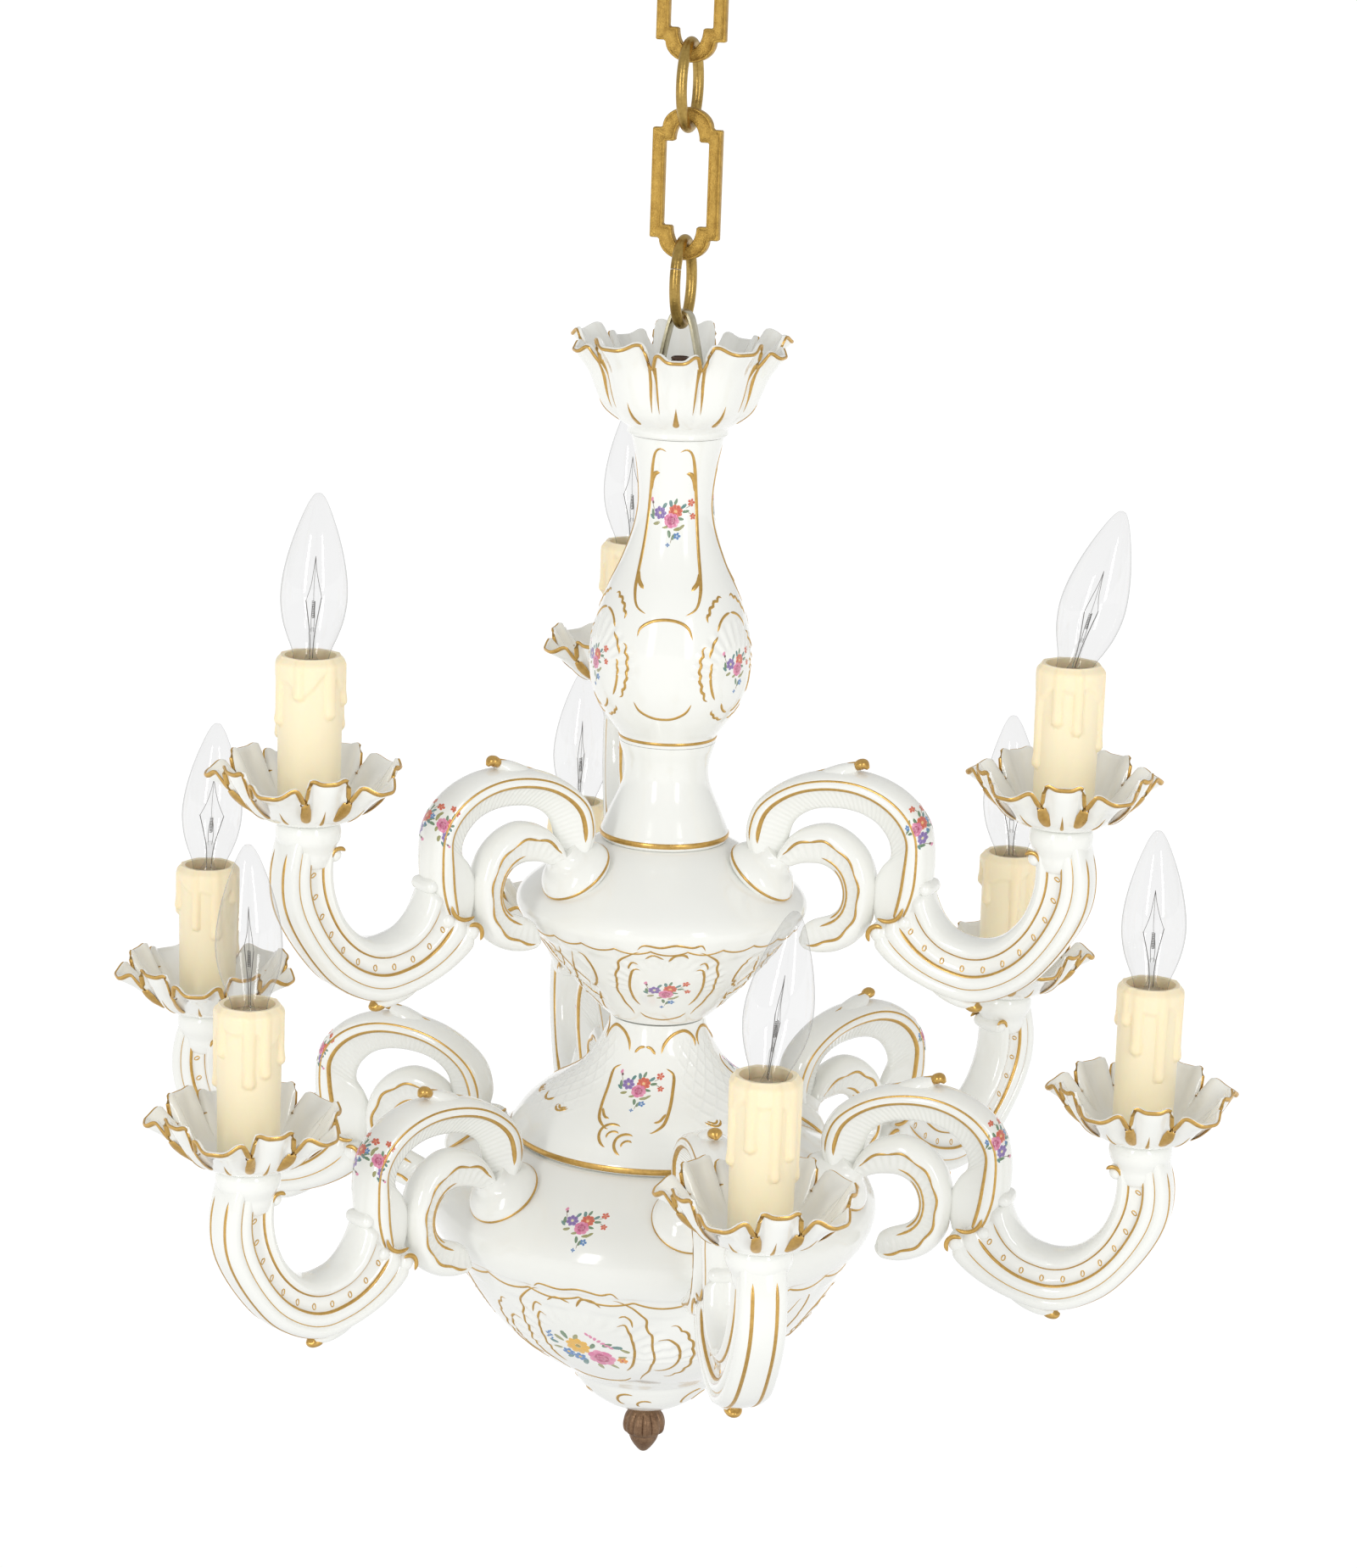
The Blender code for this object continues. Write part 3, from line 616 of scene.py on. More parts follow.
SHELL_INNER = [(143, -41), (137, -38.3), (131, -37), (124.5, -36.8), (119, -38.8), (115, -43), (113, -48.5),
               (113, -54), (114.8, -58.5), (118.5, -62), (123, -64), (127.5, -65.8), (131.5, -68.4),
               (134.5, -72)]
ARM_HALF = 12.0


def closing(count, first, last):
    """Scale along a bar that rounds off its first and last few rows, as a quarter circle does."""
    t = np.arange(count) + 0.5
    start = np.clip(t / first, 0, 1)
    end = np.clip(t[::-1] / last, 0, 1)
    return np.sqrt(1 - (1 - start) ** 2) * np.sqrt(1 - (1 - end) ** 2)


def drawn_in(inner, outer, scale):
    """Both edges pulled towards the line halfway between them."""
    middle = (inner + outer) / 2
    return middle + (inner - middle) * scale[:, None], middle + (outer - middle) * scale[:, None]


def head(shape, x, z, radius, half_depth, sides=28):
    """The rolled end of a scroll: a short roll across the arm with softly domed faces."""
    profile = knots([(0, 1.0), (0.3, 0.985), (0.58, 0.92), (0.8, 0.79), (0.94, 0.58), (1.0, 0.3), (1.0, 0)],
                    2)
    profile = np.vstack([profile, profile[-2::-1] * np.array([1, -1])])
    angle = np.linspace(0, TAU, sides, endpoint=False)
    r, y = profile[:, :1] * radius, profile[:, 1:] * half_depth
    shape.grid(np.stack([-x + r * np.cos(angle), y + 0 * angle, z + r * np.sin(angle)], -1), around=True)


def side_ring(x, z, radius, start, end, depth, side, count=20):
    """An arc on the side face of an arm, as (points, normals)."""
    path = arc(x, z, radius, start, end, count)
    points = np.stack([-path[:, 0], np.full(count, side * depth), path[:, 1]], 1)
    return points, np.broadcast_to(np.array([0.0, side, 0.0]), points.shape)


def ribs(points, section, pitch, depth, low, high, start=0.0):
    """Flutes across a bar, between two shares of its section and from a share of its run on: each is a cosine
    along the bar's run."""
    run = run_length(points[:, 0])
    depth = depth * smooth(start, start + 0.08, run / run[-1])[:, None]
    wave = np.cos(run / pitch * TAU)[:, None]
    window = smooth(low - 0.12, low, section[:, 0]) * (1 - smooth(high - 0.10, high, section[:, 0]))
    points[:, :, 1] -= np.sign(section[:, 1])[None, :] * (wave + 1) * 0.5 * depth * window[None, :]
    return points


def gold_lines(gold, surface, section, lines, first, last, step=2):
    """Gilds creases of a bar's section, on both of its sides."""
    rows = np.arange(first, last, step, dtype=float)
    columns = len(section)
    for knot, width in lines.items():
        for column in (knot * 3, columns - knot * 3):
            line = surface.at(rows, np.full(len(rows), float(column % columns)))
            gild(gold, line, width, 0.3, ends=(0.04, 0.04))


def build_arm():
    """The casting that all nine arms share: its porcelain, gilding and painting in the arm's own frame."""
    body, gold, paint = Shape(), Shape(), Shape()
    # the trough: from the cup down, round the bend and up to its rolled tip
    section = both_sides(TROUGH)
    rows = 150
    scale = closing(rows, 3, 9)
    inner, outer = drawn_in(spline(TROUGH_INNER, rows), spline(TROUGH_OUTER, rows), scale)
    swell = np.interp(np.linspace(0, 1, rows), [0, 0.1, 0.5, 0.85, 1], [0.92, 0.97, 1.04, 1.0, 0.85])
    half = ARM_HALF * scale * swell
    points = across_band(inner, outer, section, half)
    body.solid(points[:, ::3])
    trough = Surface(points)
    if trough.normals[rows // 2, 0, 2] < 0:
        trough.normals *= -1
    gold_lines(gold, trough, section, TROUGH_GOLD, 8, rows - 8)
    for k in range(11):
        row = 22 + 11.2 * k
        for column in (8 * 3 + 0.5, len(section) - 8 * 3 - 0.5):
            ring = arc(0, 0, 0.95, 0, 360, 10, 1.7)[:-1]
            line = trough.near(row, column, ring[:, 1] * 0.9, ring[:, 0])
            gild(gold, line, 0.65, 0.22, closed=True)
    # the large scroll: an outer roll with a fluted bevel inside it
    section = both_sides(SCROLL)
    rows = 420
    scale = closing(rows, 6, 3)
    inner, outer = drawn_in(spline(SCROLL_INNER, rows), spline(SCROLL_OUTER, rows), scale)
    swell = np.interp(np.linspace(0, 1, rows), [0, 0.2, 0.5, 0.85, 1], [0.66, 0.92, 0.98, 0.9, 0.7])
    half = ARM_HALF * scale * swell
    points = ribs(across_band(inner, outer, section, half), section, 2.3, 0.26, -0.9, 0.12, 0.25)
    body.solid(points[:, ::3])
    scroll = Surface(points)
    if scroll.normals[rows // 2, 45, 2] < 0:
        scroll.normals *= -1
    gold_lines(gold, scroll, section, SCROLL_GOLD, 14, rows - 22, 5)
    POSY.lay(paint, scroll, 128.0, float(len(SCROLL) * 3 - 13), 0.86, 80)
    POSY.lay(paint, scroll, 128.0, float(len(section) - len(SCROLL) * 3 + 13), 0.86, 100)
    # the small shell scroll
    section = both_sides(SHELL)
    rows = 260
    scale = closing(rows, 10, 12)
    inner, outer = drawn_in(spline(SHELL_INNER, rows), spline(SHELL_OUTER, rows), scale)
    half = 9.4 * scale * np.interp(np.linspace(0, 1, rows), [0, 0.3, 0.7, 1], [0.8, 1.0, 1.0, 0.92])
    points = ribs(across_band(inner, outer, section, half), section, 2.9, 0.6, -0.45, 0.28)
    body.solid(points[:, ::3])
    shell = Surface(points)
    if shell.normals[rows // 2, 30, 2] < 0:
        shell.normals *= -1
    wave = np.arange(16, rows - 14, 3, dtype=float)
    for side in (1, -1):
        column = side * (6 * 3 + 0.9 * np.sin(wave / 5.2)) % len(section)
        gild(gold, shell.at(wave, column), 1.2, 0.3, ends=(0.05, 0.05))
        for knot, first, last in ((2.9, 70, rows - 40), (1.9, 95, rows - 62)):
            line = np.arange(first, last, 4, dtype=float)
            gild(gold, shell.at(line, np.full(len(line), side * knot * 3 % len(section))), 1.2, 0.3,
                 ends=(0.1, 0.1))
    # rolled ends, knob, tail, cup and boss
    head(body, 10.0, -16.5, 4.2, 11.0)
    head(body, 66.8, -40.5, 3.9, 9.0)
    head(body, 89.5, -66.0, 5.8, 10.6)
    head(body, 76.5, -59.0, 4.6, 9.6)
    for side in (1, -1):
        gild(gold, side_ring(11.2, -17.5, 4.4, 40, 190, 10.6, side), 1.7, 0.5)
        gild(gold, side_ring(89.5, -67.0, 5.2, -40, 120, 10.4, side), 1.9, 0.5)
        gild(gold, side_ring(86.0, -50.0, 9.0, 185, 300, 9.6, side), 1.7, 0.5)
    knob_and_tail(body, gold)
    cup(body)
    boss(body, gold)
    return body, gold, paint


def pod(shape, path, radii, flat):
    """A tapering stem along (x, y, z) points with an oval section."""
    path = np.asarray(path, float)
    curve = spline(np.hstack([path, np.asarray(radii, float)[:, None]]), 5 * len(path))
    centre, radius = curve[:, :3], curve[:, 3]
    tangent = unit(np.gradient(centre, axis=0))
    side = unit(np.cross(tangent, np.array([0.0, 1.0, 0.0])))
    lift = np.cross(side, tangent)
    angle = np.linspace(0, TAU, 14, endpoint=False)[None, :, None]
    spoke = side[:, None] * np.cos(angle) + lift[:, None] * np.sin(angle) * flat
    shape.solid(centre[:, None] + radius[:, None, None] * spoke)


def knob_and_tail(body, gold):
    """A gilded bud on top of the scroll with a leaf trailing behind it, and a pointed tail under the bend."""
    pod(body, [(-134, 0, 4.5), (-124, 0, 8.6), (-114, 0, 12.4), (-108, 0, 15.6)], [2.0, 4.2, 4.6, 2.6], 1.3)
    pod(gold, [(-110, 0, 14.0), (-107.4, 0, 16.6), (-104.6, 0, 17.4), (-102.2, 0, 15.4)],
        [1.2, 2.6, 2.7, 0.8], 1.3)
    pod(gold, [(-130, 0, 10.6), (-121, 0, 13.6), (-114, 0, 16.2), (-108, 0, 17.6)], [0.3, 0.6, 0.8, 1.0], 1.2)
    pod(body, [(-68, 0, -85.0), (-56, 0, -90.5), (-46, 0, -95.0), (-39, 0, -97.6)], [3.0, 5.6, 5.0, 2.4], 1.5)
    pod(gold, [(-46, 0, -95.8), (-41.5, 0, -98.0), (-38.0, 0, -99.0), (-36.0, 0, -98.4)],
        [2.2, 3.2, 2.4, 0.5], 1.4)


def cup(body):
    """The collar under the bobeche: a rolled lip, a waist, and the start of the trough inside it."""
    outline = [(6.0, -0.3), (13.6, -0.3), (14.9, -1.0), (15.6, -3.0), (15.8, -6.0), (15.2, -9.2),
               (13.8, -12.0), (12.6, -14.6), (12.0, -18.0), (10.0, -22.0), (6.0, -23.0)]
    surface, _ = turned(outline[::-1], 44, 48)
    body.solid(surface.points)


def boss(body, gold):
    """The domed foot that sits on the hub, with a ring of yellow gold round its edge."""
    tilt = math.radians(39.0)
    centre = np.array([-158.5, 0, -47.0])

    def tilted(points):
        x, y, z = np.moveaxis(points, -1, 0)
        turned_x, turned_z = x * math.cos(tilt) + z * math.sin(tilt), -x * math.sin(tilt) + z * math.cos(tilt)
        return np.stack([turned_x, y, turned_z], -1) + centre

    outline = [(8.0, 17.0), (8.6, 14.0), (10.5, 11.6), (14.0, 9.4), (17.4, 6.2), (19.0, 3.0), (18.9, 0.6),
               (17.8, -1.2), (10.0, -3.5)]
    surface, _ = turned(outline[::-1], 40, 56)
    points = tilted(surface.points)
    body.solid(points)
    seam = Surface(points)
    gild(gold, seam.at(np.full(90, 14.5), np.linspace(0, 56, 90, endpoint=False)), 1.3, 0.35, closed=True)


def arms():
    body, gold, paint = build_arm()
    for label in LIGHTS:
        place = on_arm(label)
        body.make(f"porcelain_arm_{label}", PORCELAIN, "porcelain", replaces=f"arm_{label}", place=place)
        gold.make(f"arm_gilding_{label}", GOLD, "polished_brass", place=place)
        paint.make(f"arm_flowers_{label}", ENAMEL, "porcelain", place=place)


# ---------------------------------------------------------------------------------------------------------
# Leafed cups


def petal_cup(outline, wall, pairs, columns, rows, wide, narrow, hole, first, root, share):
    """A leafed bowl. Its wall follows outline, and from a third of the way up it folds into wide and narrow
    petals by turns, share of each pair being wide. wide and narrow give a petal's rise, the extra rise of its
    two corners, and how far its middle rolls outwards and down. Its sides fall steeply to the roots between.
    Returns the outer skin, the inner skin and the closed wall as one grid."""
    curve = spline(outline, rows)
    t = np.linspace(0, 1, rows)
    angle = np.linspace(0, TAU, columns, endpoint=False)
    turn = np.abs(((angle - first) / TAU * pairs + 0.5) % 1 - 0.5)
    is_wide = turn < 0.5 * share
    phi = np.where(is_wide, turn / (0.5 * share), (0.5 - turn) / (0.5 - 0.5 * share))
    crest = 1 - smooth(0.76, 1.0, phi)
    corner = np.exp(-((phi - 0.64) / 0.2) ** 2)
    rise, horn, roll = (np.where(is_wide, one, other) for one, other in zip(wide, narrow))
    lift = crest * (rise + horn * corner) - root * (1 - crest)
    fold = smooth(0.30, 1.0, t)[:, None]
    flare = smooth(0.50, 1.0, t)[:, None]
    curl = crest * roll * (1 - 0.7 * smooth(0.15, 0.85, phi))
    crimp = smooth(0.2, 0.8, t)[:, None] * (1 - crest)[None]
    radius = curve[:, :1] * (1 - 0.05 * crimp) + flare ** 1.6 * curl[None] - 0.8 * crimp
    height = curve[:, 1:] + fold * lift[None] - 0.42 * flare ** 4 * curl[None]
    belly = 0.9 * smooth(0.15, 0.5, t)[:, None] * (1 - smooth(0.8, 1.0, t))[:, None]
    radius = radius + belly * np.cos(phi * math.pi)[None]
    outer = np.stack([radius * np.cos(angle), radius * np.sin(angle), height], -1)
    normals = Surface(outer).normals
    thick = (wall * (1 - 0.3 * t))[:, None, None]
    inner = outer - normals * thick
    lip = outer[-1] - normals[-1] * thick[-1] * 0.5 + np.array([0, 0, 0.6])

    def drawn_to_hole(ring):
        gap = hole / np.linalg.norm(ring[:, :2], axis=1)[:, None]
        return np.hstack([ring[:, :2] * gap, ring[:, 2:]])

    skin = np.concatenate([drawn_to_hole(outer[0])[None], outer, lip[None], inner[::-1],
                           drawn_to_hole(inner[0])[None]])
    return Surface(outer), Surface(inner, inside_out=True), skin


def rim_gold(gold, outer, width):
    """A bead of gold along the outer side of the leafed edge, so that the edge stays white within."""
    edge, normal = outer.points[-1], outer.normals[-1]
    tangent = unit(np.roll(edge, -1, 0) - np.roll(edge, 1, 0))
    up = unit(np.cross(normal, tangent))
    up *= np.sign(up[:, 2:3] + 1e-6)
    angle = np.linspace(0, TAU, 8, endpoint=False)[None, :, None]
    centre = edge - up * 0.3 * width
    ring = centre[:, None] + normal[:, None] * np.cos(angle) * 0.7 + up[:, None] * np.sin(angle) * width
    gold.grid(ring, around=True, along=True)


def build_bobeche():
    body, gold = Shape(), Shape()
    outline = [(15.5, 0.3), (18.5, 0.8), (23.0, 2.7), (29.4, 6.3), (35.4, 11.2), (39.6, 16.4), (42.2, 21.2)]
    columns, rows, pairs, share = 310, 22, 5, 0.58
    outer, inner, skin = petal_cup(outline, 2.4, pairs, columns, rows, (3.4, 1.8, 7.2), (7.4, 1.0, 1.4), 5.6,
                                   math.radians(36), 3.6, share)
    body.grid(skin, around=True, along=True)
    rim_gold(gold, outer, 1.3)
    step = columns / pairs
    for k in range(pairs):
        middle = (k + 0.5) * step
        for side in (-1, 1):
            root = middle + side * 0.5 * share * step
            line = np.linspace(rows - 1.2, rows * 0.36, 24)
            width = np.interp(np.linspace(0, 1, 24), [0, 0.3, 0.85, 1], [3.2, 4.4, 3.6, 2.4])
            gild(gold, outer.at(line, np.full(24, root)), width, 0.55, ends=(0.02, 0.1))
            line = np.linspace(rows - 1.2, rows * 0.62, 16)
            gild(gold, inner.at(line, np.full(16, root)), 3.4, 0.5, ends=(0.02, 0.2))
        for centre in (middle, middle + 0.5 * step):
            line = np.linspace(rows * 0.24, rows * 0.58, 16)
            width = np.interp(np.linspace(0, 1, 16), [0, 0.25, 1], [1.0, 1.7, 0.3])
            gild(gold, outer.at(line, np.full(16, centre)), width, 0.3, ends=(0.15, 0.3))
    return body, gold


def bobeches():
    body, gold = build_bobeche()
    for label in LIGHTS:
        place = on_arm(label)
        body.make(f"leafed_bobeche_{label}", PORCELAIN, "porcelain", replaces=f"bobeche_{label}", place=place)
        gold.make(f"bobeche_gilding_{label}", GOLD, "polished_brass", place=place)


def crown():
    body, gold = Shape(), Shape()
    outline = [(23.4, 179.9), (25.4, 181.0), (25.4, 184.0), (31.0, 188.0), (37.8, 193.8), (42.0, 201.5),
               (44.6, 210.0), (47.2, 216.6), (49.6, 221.0)]
    columns, rows, pairs, share = 420, 42, 5, 0.57
    first = VIEW_AZIMUTH + math.radians(36 - 2)
    outer, _, skin = petal_cup(outline, 3.0, pairs, columns, rows, (9.0, 1.6, 7.4), (3.6, 1.8, 5.0), 6.0,
                               first, 3.0, share)
    body.grid(skin, around=True, along=True)
    rim_gold(gold, outer, 0.95)
    step = columns / pairs
    for k in range(pairs):
        middle = first / TAU * columns + k * step
        for centre in (middle, middle + 0.5 * step):
            line = np.linspace(rows * 0.22, rows * 0.50, 18)
            width = np.interp(np.linspace(0, 1, 18), [0, 0.2, 1], [2.6, 2.8, 0.4])
            gild(gold, outer.at(line, np.full(18, centre)), width, 0.3, ends=(0.1, 0.25))
        for side in (-1, 1):
            for near in (0.40, 0.60):
                line = np.linspace(rows - 2.0, rows * 0.42, 28)
                column = middle + side * step * (0.5 * share + (near - 0.5) * np.linspace(0.22, 0.42, 28))
                gild(gold, outer.at(line, column), np.linspace(2.1, 0.6, 28), 0.3, ends=(0.02, 0.3))
    body.make("leafed_crown", PORCELAIN, "porcelain", replaces="crown", place=on_stack)
    gold.make("crown_gilding", GOLD, "polished_brass", place=on_stack)


# ---------------------------------------------------------------------------------------------------------
# Candles and bulbs


def candle(label, seed):
    """A wax sleeve: a tube whose skin is the highest of a plain wall, a thick top and a ring of drips. Each
    drip runs down to its own depth and ends in a bead."""
    rng = np.random.default_rng(seed)
    columns, rows = 128, 80
    z = np.linspace(3.4, 81.2, rows)[:, None]
    angle = np.linspace(0, TAU, columns, endpoint=False)[None, :]
    skin = 15.0 + 0.4 * smooth(10, 60, z) + 0 * angle
    count = 8
    starts = (np.arange(count) + rng.uniform(-0.25, 0.25, count)) / count * TAU
    ends = rng.permutation(np.linspace(30, 62, count))
    lift = np.zeros_like(skin)
    for start, end in zip(starts, ends):
        gap = np.abs((angle - start + math.pi) % TAU - math.pi) * 15.5
        half = 2.1 + 0.7 * rng.random() + 0.02 * (z - end)
        below = np.maximum(end + 2 - z, 0)
        bead = 0.45 * np.exp(-((z - end - 2.5) / 3.0) ** 2)
        flank = np.sqrt(np.clip(1 - (np.sqrt(gap ** 2 + below ** 2) / (half + bead)) ** 2, 0, 1))
        lift = np.maximum(lift, (2.0 + 1.3 * bead) * flank)
    edge = 69.0 + 3.2 * np.sin(3 * angle + seed) + 2.6 * np.sin(5 * angle + 2.1 * seed)
    mantle = 1.35 * smooth(-1.4, 1.4, z - edge)
    skin = skin + np.maximum(lift, mantle)
    skin = skin - 2.6 * smooth(76.5, 81.2, z) ** 2
    tone = np.broadcast_to((smooth(3, 22, z) + 0 * angle)[..., None], (rows, columns, 3)).copy()
    tone *= (0.82 + 0.18 * smooth(0.0, 1.0, lift))[..., None]
    wall = np.stack([skin * np.cos(angle), skin * np.sin(angle), z + 0 * angle], -1)
    bore_z = np.linspace(81.0, 3.4, 8)[:, None]
    bore = np.stack([12.3 * np.cos(angle) + 0 * bore_z, 12.3 * np.sin(angle) + 0 * bore_z,
                     bore_z + 0 * angle], -1)
    shape = Shape()
    shape.grid(np.concatenate([wall, bore]), around=True, along=True,
               tone=np.concatenate([tone, np.full((8, columns, 3), 0.9)]))
    shape.make(f"wax_candle_{label}", WAX, "candle_wax", replaces=f"candle_sleeve_{label}",
               place=on_arm(label))


BULB_OUTLINE = [(8.2, 75.0), (8.4, 79.0), (9.6, 84.0), (12.0, 90.0), (14.3, 97.0), (15.7, 105.0),
                (15.9, 112.0), (15.1, 120.0), (13.3, 129.0), (10.8, 138.0), (8.0, 146.0), (5.6, 152.0),
                (3.8, 155.6), (1.9, 158.3), (0.0, 159.0)]


def lean(degrees, direction):
    """A place function that leans a bulb by some degrees about its mouth, towards a direction."""
    c, s = math.cos(math.radians(degrees)), math.sin(math.radians(degrees))
    a = math.radians(direction)
    pivot = 74.0

    def place(points):
        x, y, z = points.T
        u, v = x * math.cos(a) + y * math.sin(a), -x * math.sin(a) + y * math.cos(a)
        w = z - pivot
        u, w = u * c + w * s, -u * s + w * c
        return np.stack([u * math.cos(a) - v * math.sin(a), u * math.sin(a) + v * math.cos(a), w + pivot], 1)

    return place


def wire(shape, points, radius, count=24, sides=6):
    """A round wire along a smooth curve."""
    curve = spline(points, count)
    tangent = unit(np.gradient(curve, axis=0))
    side = unit(np.cross(tangent, np.array([0.31, 0.87, 0.38])))
    lift = np.cross(tangent, side)
    angle = np.linspace(0, TAU, sides, endpoint=False)[None, :, None]
    shape.solid(curve[:, None] + radius * (side[:, None] * np.cos(angle) + lift[:, None] * np.sin(angle)))


def bulb(label, tilt, direction, spin):
    """A clear torpedo bulb: a closed envelope, its glass mount, lead wires, filament and screw shell."""
    lean_by = lean(tilt, direction)
    seat = on_arm(label)

    def place(points):
        x, y, z = points.T
        c, s = math.cos(spin), math.sin(spin)
        return seat(lean_by(np.stack([x * c - y * s, x * s + y * c, z], 1)))

    envelope, _ = turned(BULB_OUTLINE, 56, 56)
    glass = Shape()
    glass.solid(envelope.points)
    glass.make(f"bulb_glass_{label}", GLASS, "bulb_glass", replaces=f"bulb_{label}", place=place)
    mount = Shape()
    stem, _ = turned([(6.0, 76.0), (4.2, 79.0), (2.5, 83.0), (2.2, 88.0), (2.4, 92.0), (1.2, 94.0)], 20, 20)
    mount.solid(stem.points * np.array([1, 0.55, 1]))
    mount.make(f"bulb_mount_{label}", GLASS, "bulb_glass", place=place)
    wires = Shape()
    for side in (-1, 1):
        wire(wires, [(side * 1.2, 0, 79), (side * 1.5, 0, 87), (side * 2.6, 0, 94), (side * 6.0, 0, 107),
                     (side * 6.4, 0, 108.2)], 0.22)
        wire(wires, [(side * 6.3, 0, 108), (side * 3.2, 0.3, 115), (side * 1.2, 0, 122), (0, 0, 128.5)], 0.13)
        wire(wires, [(side * 0.9, 0, 92), (side * 1.4, 0, 99), (side * 0.7, 0, 105)], 0.14)
    turns = np.linspace(0, 1, 90)
    coil = np.stack([0.75 * np.cos(turns * TAU * 12), 0.75 * np.sin(turns * TAU * 12), 99 + 8 * turns], 1)
    wire(wires, coil, 0.17, 180, 5)
    wire(wires, [(0, 0, 107), (0.3, 0, 113), (0, 0, 128.5)], 0.10)
    wires.make(f"bulb_wires_{label}", FILAMENT, "bulb_glass", place=place)
    shell = Shape()
    thread = [(6.2 if k % 2 else 5.6, 46.5 + 1.2 * k) for k in range(18)]
    screw, _ = turned([(2.0, 45.6), (5.2, 46.0), *thread, (7.9, 70.0), (8.5, 71.5), (8.7, 76.5), (7.6, 77.5)],
                      120, 28)
    shell.solid(screw.points)
    shell.make(f"bulb_screw_shell_{label}", SCREW_SHELL, "bulb_glass", place=seat)


def lampholder(label):
    """The holder inside the sleeve, as the frame has it."""
    outline = [(4.7, -12.0), (4.7, 3.0), (11.1, 3.6), (11.2, 40.0), (11.2, 68.0), (10.8, 71.6), (9.6, 72.0),
               (9.0, 71.0), (8.9, 54.0), (8.9, 46.0), (2.0, 45.2)]
    surface, _ = turned(outline, 44, 36)
    shape = Shape()
    shape.solid(surface.points)
    shape.make(f"socket_{label}", HOLDER, "bakelite", replaces=f"lampholder_{label}", place=on_arm(label),
               crease=35)


def candles():
    leans = {"upper_1": (2.0, 144), "upper_2": (14.0, 24), "lower_1": (7.0, 79), "lower_5": (3.0, 199),
             "lower_3": (2.0, 139)}
    for k, label in enumerate(LIGHTS):
        candle(label, 3 + 2 * k)
        tilt, direction = leans.get(label, (1.0, 40.0 * k))
        bulb(label, tilt, direction, 0.4 + 0.9 * k)
        lampholder(label)


# ---------------------------------------------------------------------------------------------------------
# Centre stack


def bored(surface):
    """Adds a bore through a turned skin: the skin, then back down a straight wall, as one closed grid."""
    points = surface.points
    columns = points.shape[1]
    angle = np.linspace(0, TAU, columns, endpoint=False)
    top, bottom = points[-1, :, 2].mean(), points[0, :, 2].mean()
    wall = [np.stack([BORE * np.cos(angle), BORE * np.sin(angle), np.full(columns, z)], -1)
            for z in (top, bottom)]
    return np.concatenate([points, np.stack(wall)])


def frame_gold(gold, surface, row, column, sx, sy):
    """A cartouche of gold strokes: an outer border, hooked inner brackets, arcs above and a bow below."""
    size = np.array([sx, sy])
    border = [(-15, 1.02), (-17.4, 1.0), (-22.5, 0.86), (-26, 0.7), (-25.6, 0.55), (-27, 0.40), (-26, 0.2),
              (-25.4, -0.04), (-23, -0.2), (-20.6, -0.38), (-17, -0.55), (-14.5, -0.72)]
    bracket = [(-14, 0.56), (-17.4, 0.58), (-18.8, 0.44), (-19, 0.2), (-18, 0.0), (-15.6, -0.22),
               (-12.2, -0.38)]
    small = [(-15.5, 0.70), (-18, 0.74), (-20, 0.66), (-20.4, 0.56)]
    bow = [(-12, -0.62), (-8, -0.76), (0, -0.84), (8, -0.76), (12, -0.62)]
    wide = np.array([1 / 27, 1.0])
    for flip in (1, -1):
        for path, width in ((border, 1.2), (bracket, 1.3), (small, 1.0)):
            trace(gold, surface, row, column, np.array(path) * wide * size * np.array([flip, 1]), width)
    trace(gold, surface, row, column, np.array(bow) * wide * size, 1.1)
    crests = (([(-0.46, 0.84), (-0.3, 0.94), (-0.1, 0.86)], 1.0),
              ([(-0.02, 0.80), (0.08, 0.94), (0.25, 0.96), (0.36, 0.86)], 1.4),
              ([(-0.62, 1.06), (-0.5, 1.16), (-0.2, 1.13), (0.1, 1.18), (0.4, 1.13), (0.58, 1.17),
                (0.66, 1.06)], 1.2))
    for path, width in crests:
        trace(gold, surface, row, column, np.array(path) * size, width)


def pillow(x, y, width, height, power=4):
    """1 inside a rounded rectangle and 0 outside it, with a soft edge."""
    return 1 / (1 + (np.abs(x / width) ** power + np.abs(y / height) ** power) ** 3)


def flutes(x, y, near, far, count):
    """Radial flutes between two distances from a point, fading at both, in the half above it."""
    reach, angle = np.hypot(x, y), np.arctan2(y, x)
    fade = smooth(near - 1.5, near + 1.5, reach) * (1 - smooth(far - 1, far + 2, reach))
    return np.cos(angle * count) * fade * (angle > 0)


def wrapped(angle, degrees):
    """Signed angle from a direction, in radians."""
    return (angle - math.radians(degrees) + math.pi) % TAU - math.pi


def lattice(x, y, pitch):
    """A diamond trellis: raised bars where either of two slanting waves crosses nought."""
    one, other = (np.abs(np.sin((x + slant * y) * math.pi / pitch)) for slant in (0.62, -0.62))
    return 1 - smooth(0.05, 0.35, np.minimum(one, other))


